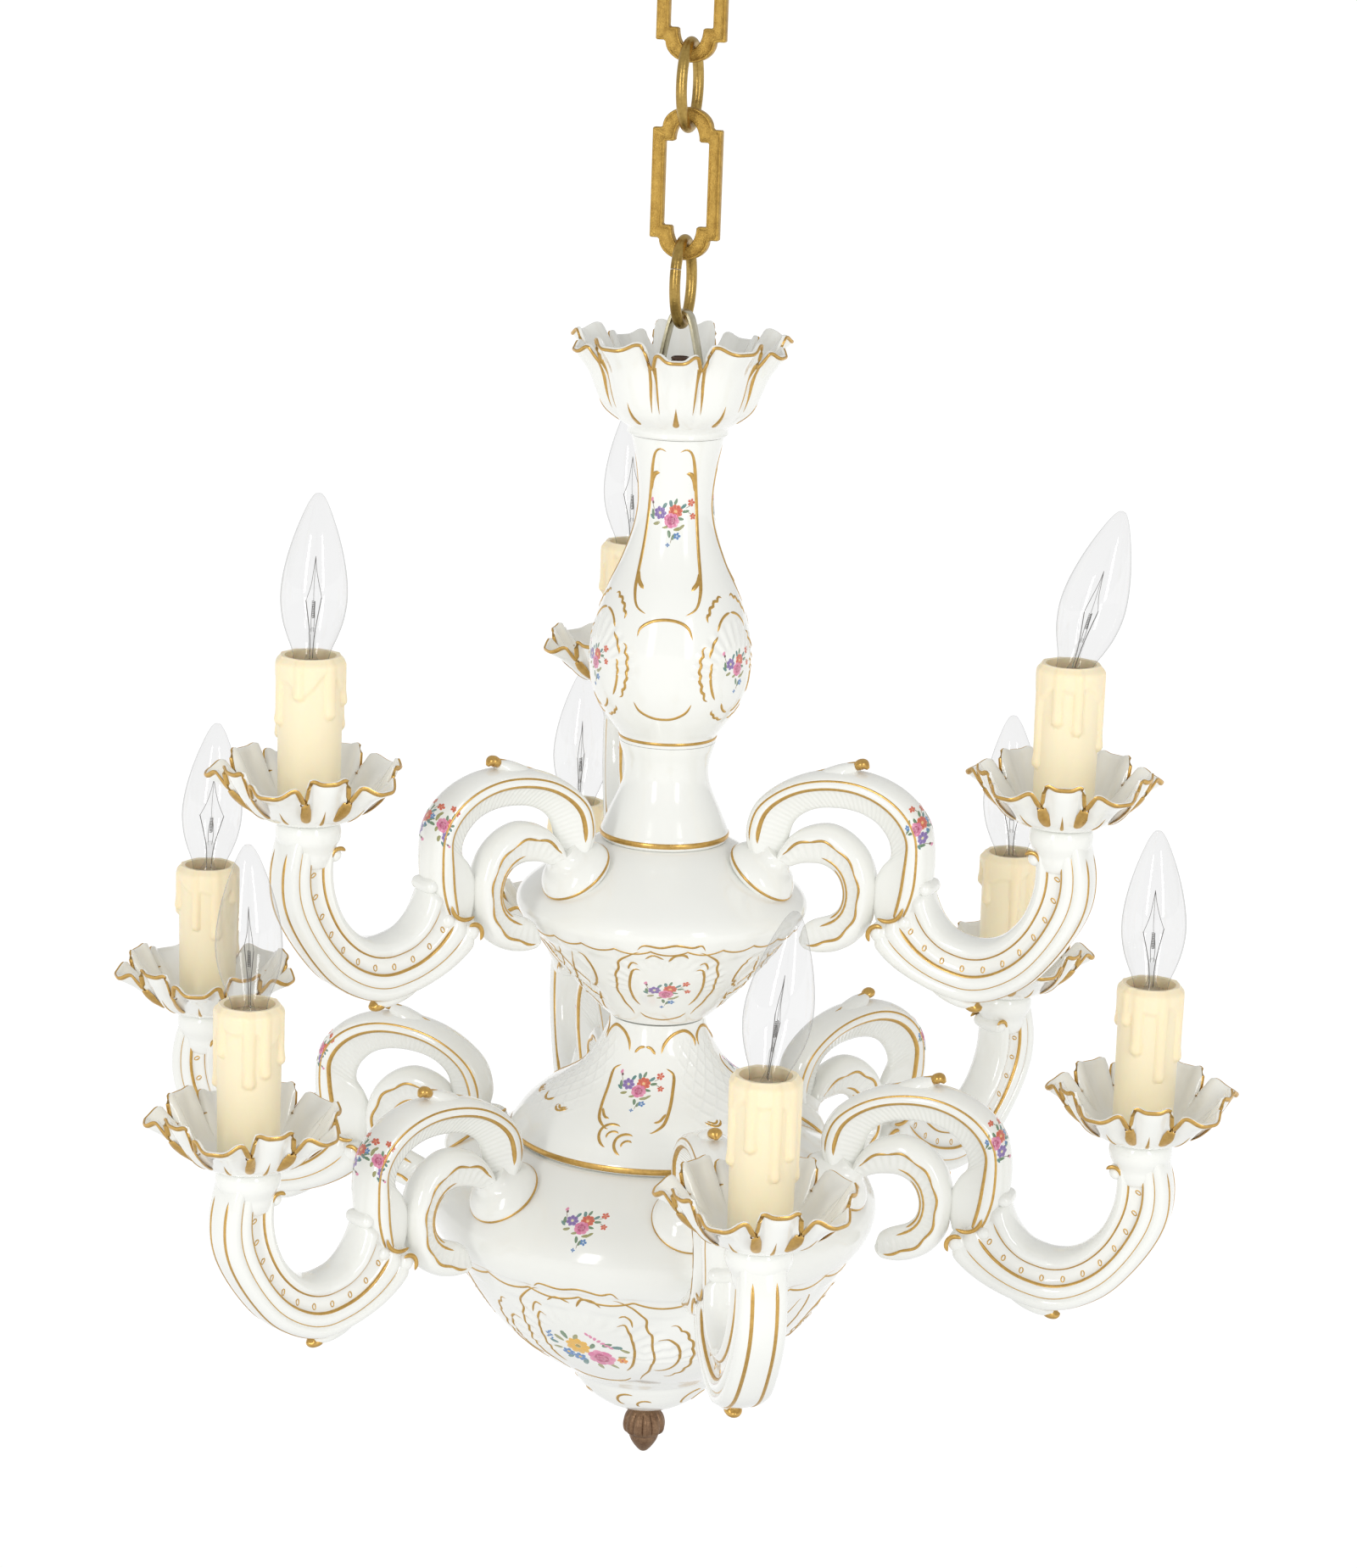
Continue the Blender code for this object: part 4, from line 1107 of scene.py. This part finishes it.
def baluster():
    """The tall vase: three gold-lined panels with bouquets, and on its belly blank medallions under the
    panels and shell-framed bouquets between them."""
    outline = [(24.6, 23.8), (25.2, 27.5), (28.6, 32.2), (33.6, 39.4), (37.4, 47.0), (39.7, 55.0),
               (40.5, 64.5), (40.0, 76.0), (37.2, 89.0), (32.2, 102.5), (26.4, 115.5), (21.6, 129.5),
               (19.2, 141.0), (18.8, 151.0), (20.0, 164.0), (22.4, 176.0), (23.4, 179.8)]
    panels = [253.8 + 120 * k for k in range(3)]
    belly = 43.0

    def relief(run, angle):
        lift = 0 * run * angle
        for degrees in panels:
            x, y = wrapped(angle, degrees) * 24, run - 106
            lift = lift + 0.45 * pillow(x, y, 15.5 - 3.5 * y / 50, 50)
            x = wrapped(angle, degrees) * 40
            lift = lift + 0.5 * pillow(x, run - belly, 14.5, 25, 2.2)
            x = wrapped(angle, degrees + 60) * 40
            y = run - belly
            lift = lift + 0.7 * pillow(x, y, 16, 24, 2.2) + 0.35 * flutes(x, y, 15.5, 27, 26)
        return lift

    surface, _ = turned(outline, 210, 300, relief)
    body, gold, paint = Shape(), Shape(), Shape()
    body.grid(bored(surface), around=True, along=True)
    side = [(3.4, 35.6), (6.6, 37), (9.4, 35), (11.0, 29), (12.0, 19), (13.0, 8), (14.0, -4), (15.2, -16),
            (16.6, -27), (17.2, -36), (15.4, -43.5), (10, -47)]
    upper_leaf = [(6.6, 24.5), (9.2, 24.2), (11.2, 20.5), (12.1, 14.5)]
    lower_leaf = [(16.4, -25), (15.4, -30.5), (12.2, -34.6)]
    for degrees in panels:
        column, row = column_at(surface, degrees), row_at(surface, 139.0)
        for flip in (1, -1):
            for path, width in ((side, 1.7), (upper_leaf, 2.1), (lower_leaf, 2.0)):
                trace(gold, surface, row, column, np.array(path) * np.array([flip, 1]), width)
        POSY.lay(paint, surface, row_at(surface, 140.0), column, 1.0)
        row = row_at(surface, 67.0)
        trace(gold, surface, row, column,
              [(-14, 16.5), (-12.5, 21), (-7, 24.6), (0, 26), (7, 25), (12, 21.8), (14.5, 16)], 1.4)
        trace(gold, surface, row, column,
              [(-15, -17), (-12, -22), (-6, -25.4), (0, -26.4), (6, -25.6), (12, -22), (15, -17)], 1.4)
        column = column_at(surface, degrees + 60)
        POSY.lay(paint, surface, row, column, 0.92)
        for flip in (1, -1):
            size = np.array([flip, 1])
            for path, width in ((wavy(0, 0, 24.5, 148, 222, 6, 0.05, tall=25), 1.4),
                                (wavy(0, 12, 20, 100, 150, 4, 0.06, tall=26), 1.5),
                                (arc(0, 0, 19.5, 128, 163, 12, 22), 1.3),
                                (arc(0, -2, 18.0, 160, 222, 16, 20), 1.3),
                                (arc(0, 14, 12.5, 90, 158, 12, 14), 1.3),
                                (wavy(0, -16, 15, 205, 262, 3, 0.07, tall=13), 1.3),
                                (arc(0, -14, 9, 200, 262, 10, 10), 1.2)):
                trace(gold, surface, row, column, path * size, width)
    band_line(gold, surface, 3.0, 1.5, 0.35)
    body.make("painted_baluster", PORCELAIN, "porcelain", replaces="baluster", place=on_stack)
    gold.make("baluster_gilding", GOLD, "polished_brass", place=on_stack)
    paint.make("baluster_flowers", ENAMEL, "porcelain", place=on_stack)


def neck():
    outline = [(32.0, -27.6), (32.7, -26.4), (32.7, -23.4), (31.6, -20.6), (28.2, -12.5), (24.4, -4.0),
               (22.2, 2.5), (21.4, 9.0), (22.2, 15.0), (23.8, 20.2), (24.6, 23.6)]
    surface, _ = turned(outline, 90, 144)
    body, gold = Shape(), Shape()
    body.grid(bored(surface), around=True, along=True)
    band_line(gold, surface, row_at(surface, -24.6), 2.3, 0.35)
    body.make("plain_neck", PORCELAIN, "porcelain", replaces="neck", place=on_stack)
    gold.make("neck_gilding", GOLD, "polished_brass", place=on_stack)


def trellis_gold(gold, surface, row, column, sx, sy):
    """A small trellis panel: two crossing pairs of lines with hooks at the sides."""
    lines = (([(-0.75, 0.95), (-0.1, 0.1), (0.45, -0.6)], 0.8),
             ([(-0.25, 0.95), (0.12, 0.45), (0.55, -0.15)], 0.7),
             ([(-0.98, 0.98), (-1.12, 0.86), (-1.08, 0.45), (-0.86, 0.1), (-0.62, -0.1), (-0.58, -0.2)], 1.4),
             ([(-0.55, -0.3), (-0.3, -0.62), (-0.1, -0.9), (-0.16, -1.0)], 1.2))
    for flip in (1, -1):
        for path, width in lines:
            trace(gold, surface, row, column, np.array(path) * np.array([flip * sx, sy]), width)


def hub(outline, rows, columns, relief):
    """A bored skin with its relief, and the shapes for its body, gilding and painting."""
    surface, _ = turned(outline, rows, columns, relief)
    body, gold, paint = Shape(), Shape(), Shape()
    body.grid(bored(surface), around=True, along=True)
    return surface, body, gold, paint


def make_hub(body, gold, paint, name):
    body.make(f"porcelain_{name}", PORCELAIN, "porcelain", replaces=name, place=on_stack)
    gold.make(f"{name}_gilding", GOLD, "polished_brass", place=on_stack)
    paint.make(f"{name}_flowers", ENAMEL, "porcelain", place=on_stack)


def upper_hub():
    outline = [(24.0, -121.2), (27.4, -119.6), (36.4, -111.1), (44.9, -101.9), (55.9, -89.4), (64.5, -77.6),
               (70.6, -69.6), (72.8, -66.6), (74.6, -63.0), (74.2, -58.6), (70.6, -53.6), (62.0, -46.4),
               (52.0, -39.4), (43.0, -33.6), (36.5, -29.9), (32.8, -27.9)]
    fronts = [262.9 + 120 * k for k in range(3)]

    def relief(run, angle):
        lift = 0 * run * angle
        for degrees in fronts:
            x, y = wrapped(angle, degrees) * 56, run - 38
            lift = lift + 0.9 * pillow(x, y, 22, 25, 3) + 0.3 * flutes(x, y, 21, 31, 30)
            x = wrapped(angle, degrees + 60) * 56
            lift = lift - 0.7 * pillow(x, y, 17, 22, 3) + 0.8 * lattice(x, y, 13) * pillow(x, y, 16, 20, 4)
        rim = smooth(60, 66, run) * (1 - smooth(70, 78, run))
        return lift * (1 - smooth(60, 66, run)) + 0.8 * np.abs(np.sin(angle * 12)) * rim

    surface, body, gold, paint = hub(outline, 160, 340, relief)
    row = row_at(surface, -96.0)
    for degrees in fronts:
        column = column_at(surface, degrees)
        frame_gold(gold, surface, row, column, 27, 33)
        POSY.lay(paint, surface, row, column, 1.0)
        trellis_gold(gold, surface, row, column_at(surface, degrees + 60), 20, 27)
    rim = row_at(surface, -69.4)
    band_line(gold, surface, rim, 1.0, 0.3, 360, lambda a: -2.2 * np.abs(np.sin(a * 12)) ** 0.7)
    make_hub(body, gold, paint, "upper_hub")


def skirt():
    outline = [(73.4, -185.8), (74.6, -184.6), (74.8, -181.8), (73.4, -179.4), (68.6, -172.6), (61.8, -166.6),
               (54.6, -161.6), (47.4, -157.0), (40.6, -152.0), (35.0, -145.8), (30.8, -139.0), (27.6, -132.4),
               (25.4, -126.8), (24.4, -121.9)]
    fronts = [246.8 + 120 * k for k in range(3)]

    def relief(run, angle):
        lift = 0 * run * angle
        for degrees in fronts:
            x, y = wrapped(angle, degrees) * 40, run - 44
            lift = lift + 0.5 * pillow(x, y, 15 - 0.1 * y, 26, 3)
            x = wrapped(angle, degrees + 60) * 40
            lift = lift + 0.5 * lattice(x, y - 6, 7.5) * pillow(x, y - 6, 19, 26, 5)
        return lift

    surface, body, gold, paint = hub(outline, 140, 300, relief)
    row = row_at(surface, -151.5)
    for degrees in fronts:
        column = column_at(surface, degrees)
        POSY.lay(paint, surface, row, column, 1.0)
        for flip in (1, -1):
            size = np.array([flip, 1.0])
            hook = [(12.0, 12.5), (16.5, 9), (17.5, 0), (18.0, -12), (17.0, -21), (12.5, -26), (10.5, -26)]
            for path, width in (
                    (hook, 1.5),
                    ([(5.5, 19.5), (3, 22.5), (0, 23.2)], 1.3),
                    ([(8.5, 20), (9.5, 25), (13.5, 29.5), (20, 31), (26, 27), (28, 22)], 1.5),
                    ([(16.8, -14), (14.5, -19), (11.5, -20)], 1.3)):
                trace(gold, surface, row, column, np.array(path) * size, width)
        for x, y, r in ((-8, -30, 7), (0, -34, 6)):
            trace(gold, surface, row, column, arc(x, y, r, 60, 250, 18), 1.4)
            trace(gold, surface, row, column, arc(x + 1, y - 1, r * 0.55, 50, 190, 12), 1.1)
        column = column_at(surface, degrees + 60)
        for x in (-17, 17):
            for r in (4.6, 2.8):
                trace(gold, surface, row, column, arc(x, -20, r, 190, 350, 12), 1.2)
        trace(gold, surface, row, column, arc(0, -17, 6, 200, 340, 12), 1.2)
    band_line(gold, surface, row_at(surface, -183.0), 2.6, 0.4, 260)
    make_hub(body, gold, paint, "skirt")


def lower_hub():
    outline = [(10.0, -336.8), (12.4, -336.0), (21.5, -333.6), (31.5, -326.4), (38.0, -318.6), (40.2, -315.0),
               (41.6, -313.6), (47.6, -309.2), (63.6, -298.4), (80.5, -283.2), (96.3, -261.6),
               (107.5, -241.6), (112.6, -236.4), (115.6, -231.0), (117.3, -224.4), (116.6, -217.4),
               (112.2, -209.8), (105.0, -203.2), (96.0, -197.2), (86.0, -191.8), (78.4, -188.0),
               (75.4, -186.6)]
    fronts = [239.0 + 120 * k for k in range(3)]

    def relief(run, angle):
        lift = 0 * run * angle
        for degrees in fronts:
            x, y = wrapped(angle, degrees) * 84, run - 92
            lift = lift + 1.2 * pillow(x, y, 30, 34, 3) + 0.45 * flutes(x, y, 30, 44, 34)
            for turn in (-25, 25):
                x2 = wrapped(angle, degrees + turn) * 84
                lift = lift + 0.8 * pillow(x2, y, 9, 13, 2) + 0.35 * flutes(x2, y, 9, 19, 14)
            x = wrapped(angle, degrees + 60) * 84
            lift = lift - 0.8 * pillow(x, y, 17, 28, 4) + 0.9 * lattice(x, y, 17) * pillow(x, y, 16, 27, 4)
        rim = smooth(128, 133, run) * (1 - smooth(139, 150, run))
        fade = (1 - smooth(124, 132, run)) * smooth(46, 54, run)
        return lift * fade + np.abs(np.sin(angle * 12)) * rim

    surface, body, gold, paint = hub(outline, 200, 400, relief)
    row = row_at(surface, -277.0)
    for degrees in fronts:
        column = column_at(surface, degrees)
        frame_gold(gold, surface, row, column, 36, 44)
        SPRAY.lay(paint, surface, row, column, 1.08)
        for turn in (-25, 25):
            side = column_at(surface, degrees + turn)
            flip = np.array([math.copysign(1, turn), 1])
            trace(gold, surface, row, side, wavy(0, 0, 17, -80, 80, 7, 0.07, tall=28) * flip, 1.4)
            trace(gold, surface, row, side, arc(0, 0, 9.5, -110, 110, 24, 15) * flip, 1.4)
        trellis_gold(gold, surface, row, column_at(surface, degrees + 60), 21, 34)
        for turn in (0, 60):
            foot = row_at(surface, -324.0)
            side = column_at(surface, degrees + turn + 12)
            trace(gold, surface, foot, side, arc(-4, 1, 6, 60, 250, 16), 1.4)
            trace(gold, surface, foot, side, arc(5, -3, 4.5, 40, 220, 14), 1.2)
    for k in range(6):
        POSY.lay(paint, surface, row_at(surface, -204.0), column_at(surface, 240 + 60 * k), 1.0)
    band_line(gold, surface, row_at(surface, -240.5), 1.2, 0.3, 420,
              lambda a: -2.6 * np.abs(np.sin(a * 12)) ** 0.7)
    band_line(gold, surface, row_at(surface, -335.6), 1.6, 0.3, 90)
    make_hub(body, gold, paint, "lower_hub")


def finial():
    """A bronze acorn: a short collar, a cap of twelve lobes that overhang, and a smooth pointed nut."""
    columns = 96
    angle = np.linspace(0, TAU, columns, endpoint=False)
    curve = spline([(6.2, -337.4), (6.6, -339.6), (8.2, -341.6), (10.4, -345.0), (11.3, -349.0),
                    (10.7, -352.6), (8.6, -354.2), (8.0, -354.6), (7.7, -356.0), (6.6, -358.6), (4.6, -361.6),
                    (2.2, -364.2), (0.3, -365.0)], 60)
    cap = smooth(-355.0, -353.0, curve[:, 1]) * (1 - smooth(-343, -339.5, curve[:, 1]))
    ribs_round = np.abs(np.cos(angle * 6))[None, :] ** 0.6
    radius = curve[:, :1] * (1 - 0.10 * cap[:, None] * (1 - ribs_round))
    points = np.stack([radius * np.cos(angle), radius * np.sin(angle), curve[:, 1:] + 0 * angle], -1)
    shape = Shape()
    shape.solid(points)
    shape.make("bronze_acorn", BRONZE, "bronze", replaces="finial", place=on_stack)


# ---------------------------------------------------------------------------------------------------------
# Stem and chain


def stem():
    """The threaded tube: its top 31 mm carries a rolled thread, the rest is hidden in the porcelain."""
    top = (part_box("stem_tube")[1][2] - DATUM) / MM
    bottom = (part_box("stem_tube")[0][2] - DATUM) / MM
    columns, rows = 40, 220
    z = np.concatenate([[bottom], np.linspace(top - 32, top - 0.4, rows), [top]])[:, None]
    angle = np.linspace(0, TAU, columns, endpoint=False)[None, :]
    thread = 0.32 * np.cos((z / 1.5 - angle / TAU) * TAU) * (z > top - 31) * (z < top - 0.8)
    radius = 4.6 + thread - 0.5 * (z > top - 0.2)
    outer = np.stack([radius * np.cos(angle), radius * np.sin(angle), z + 0 * angle], -1)
    bore = np.stack([3.6 * np.cos(angle) + 0 * z[[-1, 0]], 3.6 * np.sin(angle) + 0 * z[[-1, 0]],
                     z[[-1, 0]] + 0 * angle], -1)
    shape = Shape()
    shape.grid(np.concatenate([outer, bore]), around=True, along=True)
    shape.make("threaded_stem", BROWN_STEEL, "stem_steel", replaces="stem_tube", place=on_stack)


def chain_axes():
    """Unit vectors of the chain: along the links' plane, and along the rings' plane."""
    turn = math.radians(-30)
    return np.array([math.cos(turn), math.sin(turn), 0]), np.array([-math.sin(turn), math.cos(turn), 0])


def hung(node, wide, deep):
    """A place function for a chain part: x across its face, y out of it, z from its middle."""
    low, high = (np.array(corner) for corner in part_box(node))
    centre = (low + high) / 2

    def place(points):
        across = points[:, :1] * wide + points[:, 1:2] * deep
        return centre + MM * (across + points[:, 2:] * np.array([0, 0, 1.0]))

    return place


def link_edges(inset):
    """A link's outline, inset from its outer edge: straight sides, square shoulders and an arch at each end.
    The arch is an ellipse between the shoulders."""
    half, shoulder, arch = 17.9 - inset, 27.0 - inset, 12.9 - inset
    top = 37.4 - inset
    quarter = [(half, 0), (half, shoulder * 0.5), (half, shoulder - 0.6), (half - 0.6, shoulder),
               (arch + 0.9, shoulder), (arch, shoulder + 0.7)]
    turn = np.radians(np.linspace(8, 90, 12))
    rise = top - shoulder
    sweep = np.stack([arch * np.cos(turn), shoulder + 0.4 + (rise - 0.4) * np.sin(turn)], 1)
    quarter = np.vstack([quarter, sweep])
    upper = np.vstack([quarter, (quarter * np.array([-1, 1]))[-2::-1]])
    return np.vstack([upper, (upper * np.array([1, -1]))[-2:0:-1]])


def link_shape():
    """A cast link: raised borders along both edges of a sunken, grainy ground."""
    section = [(0.0, 0.0), (0.0, 1.7), (0.35, 2.15), (0.9, 2.2), (1.35, 1.75), (3.2, 1.5), (5.1, 1.75),
               (5.5, 2.2), (6.05, 2.15), (6.4, 1.7), (6.4, 0.0)]
    section = section + [(inset, -depth) for inset, depth in section[-2:0:-1]]
    rings = []
    for inset, depth in section:
        path = link_edges(inset)
        rings.append(np.stack([path[:, 0], np.full(len(path), depth), path[:, 1]], 1))
    shape = Shape()
    shape.grid(np.stack(rings), around=True, along=True)
    return shape


def wire_ring(gap):
    """An oval of round wire. A gap leaves it open a third of the way down one side."""
    count = 120
    start = math.radians(160) + gap / 41.5
    angle = start + (TAU - 2 * gap / 41.5) * np.linspace(0, 1, count)
    if not gap:
        angle = np.linspace(0, TAU, count, endpoint=False)
    centre = np.stack([12.75 * np.cos(angle), 0 * angle, 20.75 * np.sin(angle)], 1)
    tangent = unit(np.stack([-12.75 * np.sin(angle), 0 * angle, 20.75 * np.cos(angle)], 1))
    side = np.cross(tangent, np.array([0, 1.0, 0]))
    turn = np.linspace(0, TAU, 20, endpoint=False)[None, :, None]
    ring = centre[:, None] + 2.75 * (side[:, None] * np.cos(turn) + np.array([0, 1.0, 0]) * np.sin(turn))
    shape = Shape()
    if gap:
        shape.solid(ring)
    else:
        shape.grid(ring, around=True, along=True)
    return shape


def bail():
    """The inverted V of plated strap with rounded edges, and the washer that it is welded to."""
    wide, deep = chain_axes()
    low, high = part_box("hanging_bail")
    apex, foot = (high[2] - DATUM) / MM, (low[2] - DATUM) / MM
    washer_top = foot + 2.2
    legs = [(15.2, washer_top - 1.2), (12.9, 201), (10.2, 215), (7.8, 227), (5.5, apex - 6.0),
            (3.9, apex - 2.5), (2.0, apex - 1.2), (0, apex - 1.0)]
    path = spline(legs + [(-x, z) for x, z in legs[-2::-1]], 90)
    tangent = unit(np.gradient(path, axis=0))
    side = np.stack([-tangent[:, 1], tangent[:, 0]], 1)
    section = np.array([(-1, -3.3), (-0.6, -3.8), (0.6, -3.8), (1, -3.3), (1, 3.3), (0.6, 3.8), (-0.6, 3.8),
                        (-1, 3.3)])
    plan = path[:, None] + side[:, None] * section[None, :, :1]
    across = np.broadcast_to(section[None, :, 1:], (len(path), len(section), 1))
    points = plan[..., :1] * wide + across * deep + plan[..., 1:] * np.array([0, 0, 1.0])
    shape = Shape()
    shape.solid(points)
    angle = np.linspace(0, TAU, 48, endpoint=False)
    ring = [(6.0, foot), (17.4, foot), (18.0, foot + 0.5), (18.0, foot + 1.7), (17.4, foot + 2.2),
            (6.0, foot + 2.2)]
    shape.grid(np.array([[(r * math.cos(a), r * math.sin(a), z) for a in angle] for r, z in ring]),
               around=True, along=True)
    shape.make("strap_bail", PLATED_STEEL, "bail_steel", replaces="hanging_bail", place=on_stack)


def locknut():
    """A hexagon whose corners are cut by a cone, round the stem."""
    low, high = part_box("stem_locknut")
    bottom, top = (low[2] - DATUM) / MM, (high[2] - DATUM) / MM
    angle = np.linspace(0, TAU, 72, endpoint=False)
    flat = 7.0 / np.cos((angle + math.pi / 6) % (TAU / 6) - math.pi / 6)
    rows = []
    for z, cap, hole in ((bottom, 7.3, 0), (bottom + 0.7, 9, 0), (top - 0.7, 9, 0), (top, 7.3, 0),
                         (top, 0, 1), (bottom, 0, 1)):
        radius = np.full(72, 5.4) if hole else np.minimum(flat, cap)
        rows.append(np.stack([radius * np.cos(angle), radius * np.sin(angle), np.full(72, z)], 1))
    shape = Shape()
    shape.grid(np.array(rows), around=True, along=True)
    shape.make("hexagon_locknut", PLATED_STEEL, "bail_steel", replaces="stem_locknut", place=on_stack,
               crease=30)


def ceiling_fitting():
    """A stepped cast plate with an eye of round wire under it."""
    wide, deep = chain_axes()
    shape = Shape()
    outline = [(0.2, -4.2), (7, -4.2), (8.2, -3.9), (9.0, -3.2), (22, -2.5), (23.4, -2.9), (25.0, -2.9),
               (26.4, -2.0), (29.2, -1.2), (30.0, -0.7), (29.8, 0.0), (0.2, 0.0)]
    plate = knots(outline, 2)
    angle = np.linspace(0, TAU, 72, endpoint=False)
    across, height = plate[:, :1], plate[:, 1:]
    shape.solid(np.stack([across * np.cos(angle), across * np.sin(angle), height + 0 * angle], -1))
    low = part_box("ceiling_eye")[0][2] / MM
    centre_z = low + 2.75 + 12.5
    turn = np.linspace(0, TAU, 72, endpoint=False)
    centre = np.stack([12.5 * np.cos(turn)[:, None] * deep + np.array([0, 0, 1.0])
                       * (centre_z + 12.5 * np.sin(turn)[:, None])])[0]
    radial = np.cos(turn)[:, None] * deep + np.sin(turn)[:, None] * np.array([0, 0, 1.0])
    phi = np.linspace(0, TAU, 18, endpoint=False)[None, :, None]
    ring = centre[:, None] + 2.75 * (radial[:, None] * np.cos(phi) + wide * np.sin(phi))
    shape.grid(ring, around=True, along=True)
    shape.make("ceiling_plate_and_eye", DRAWN_BRASS, "polished_brass", body="ceiling_mount",
               replaces="ceiling_eye",
               place=lambda points: points * MM)


def chain():
    wide, deep = chain_axes()
    cast = link_shape()
    for tier in ("upper", "lower"):
        node = f"chain_link_{tier}"
        cast.make(f"cast_link_{tier}", CAST_BRASS, "antique_brass", body=f"{tier}_link", replaces=node,
                  place=hung(node, wide, deep), crease=40)
        node = f"chain_ring_{tier}"
        wire_ring(0.45 if tier == "lower" else 0).make(
            f"wire_ring_{tier}", DRAWN_BRASS, "polished_brass", body=f"{tier}_ring", replaces=node,
            place=hung(node, deep, -wide))


# ---------------------------------------------------------------------------------------------------------
# Camera, light and floor


def stood(right, up, back, place):
    """The matrix of an object whose x, y and z axes point right, up and back."""
    return Matrix([[right[k], up[k], back[k], place[k]] for k in range(3)] + [[0, 0, 0, 1]])


def camera():
    """A long lens that looks slightly down on the lower tier, rolled a little, from the front left."""
    distance, pitch, roll = 2.0297, math.radians(13.576), math.radians(-1.971)
    data = bpy.data.cameras.new("camera")
    data.sensor_width = 36.0
    data.lens = 91.2715
    data.shift_x = 0.00801
    data.clip_end = 100
    view = bpy.data.objects.new("camera", data)
    bpy.context.scene.collection.objects.link(view)
    back = np.array([math.cos(VIEW_AZIMUTH) * math.cos(pitch), math.sin(VIEW_AZIMUTH) * math.cos(pitch),
                     math.sin(pitch)])
    right = np.array([-math.sin(VIEW_AZIMUTH), math.cos(VIEW_AZIMUTH), 0])
    up = np.cross(back, right)
    c, s = math.cos(roll), math.sin(roll)
    right, up = right * c - up * s, up * c + right * s
    place = back * distance + np.array([0, 0, DATUM])
    view.matrix_world = stood(right, up, back, place)
    bpy.context.scene.camera = view
    return view


def lamp(name, power, size, place, aim):
    """A rectangular area light that faces a point."""
    data = bpy.data.lights.new(name, "AREA")
    data.energy = power
    data.shape, data.size, data.size_y = "RECTANGLE", size[0], size[1]
    light = bpy.data.objects.new(name, data)
    bpy.context.scene.collection.objects.link(light)
    back = unit(np.array(place) - np.array(aim))
    right = unit(np.cross(np.array([0, 0, 1.0]), back))
    up = np.cross(back, right)
    light.matrix_world = stood(right, up, back, place)


def studio():
    """Two tall softboxes in front, a wide one overhead, and a pale glowing floor, dimmed under the lamp as a
    painted pool of shade.
    """
    world = bpy.data.worlds.new("studio")
    world.use_nodes = True
    world.node_tree.nodes["Background"].inputs[0].default_value = (1.0, 1.0, 1.0, 1)
    world.node_tree.nodes["Background"].inputs[1].default_value = 0.66
    bpy.context.scene.world = world
    bpy.context.scene.view_settings.view_transform = "Standard"
    front = np.array([math.cos(VIEW_AZIMUTH), math.sin(VIEW_AZIMUTH), 0])
    right = np.array([-math.sin(VIEW_AZIMUTH), math.cos(VIEW_AZIMUTH), 0])
    aim = (0, 0, -0.5)
    for name, side, power in (("left_softbox", -1.0, 10), ("right_softbox", 1.0, 8)):
        place = front * 1.9 + right * side * 1.1 + np.array([0, 0, 0.1])
        lamp(name, power, (0.3, 1.1), tuple(place), aim)
    lamp("overhead_softbox", 12, (1.6, 1.6), (0, 0, 1.6), aim)
    bpy.ops.mesh.primitive_plane_add(size=600, location=(0, 0, -1.9))
    floor = bpy.context.object
    floor.name = "floor"
    n = Nodes("pale_floor")
    where = n.add("ShaderNodeTexCoord", output=3)
    reach = n.add("ShaderNodeVectorMath", {"operation": "LENGTH"}, {0: where}, 1)
    # painted shade: the floor's glow is dimmed within 0.7 m of the stem and rises to full by 2.6 m, a painted
    # pool of shade under the chandelier
    glow_with_painted_shade = 0.50 + 0.38 * n.ramp(reach, 0.7, 2.6)
    white = n.add("ShaderNodeCombineColor", {}, {0: glow_with_painted_shade, 1: glow_with_painted_shade, 2: glow_with_painted_shade})
    floor.data.materials.append(n.finish(base_color=(0.3, 0.3, 0.3), roughness=1.0, specular_ior_level=0.0,
                                         emission_color=white, emission_strength=1.0))


camera()
studio()
chain()
ceiling_fitting()
bail()
locknut()
stem()
crown()
baluster()
neck()
upper_hub()
skirt()
lower_hub()
finial()
arms()
bobeches()
candles()
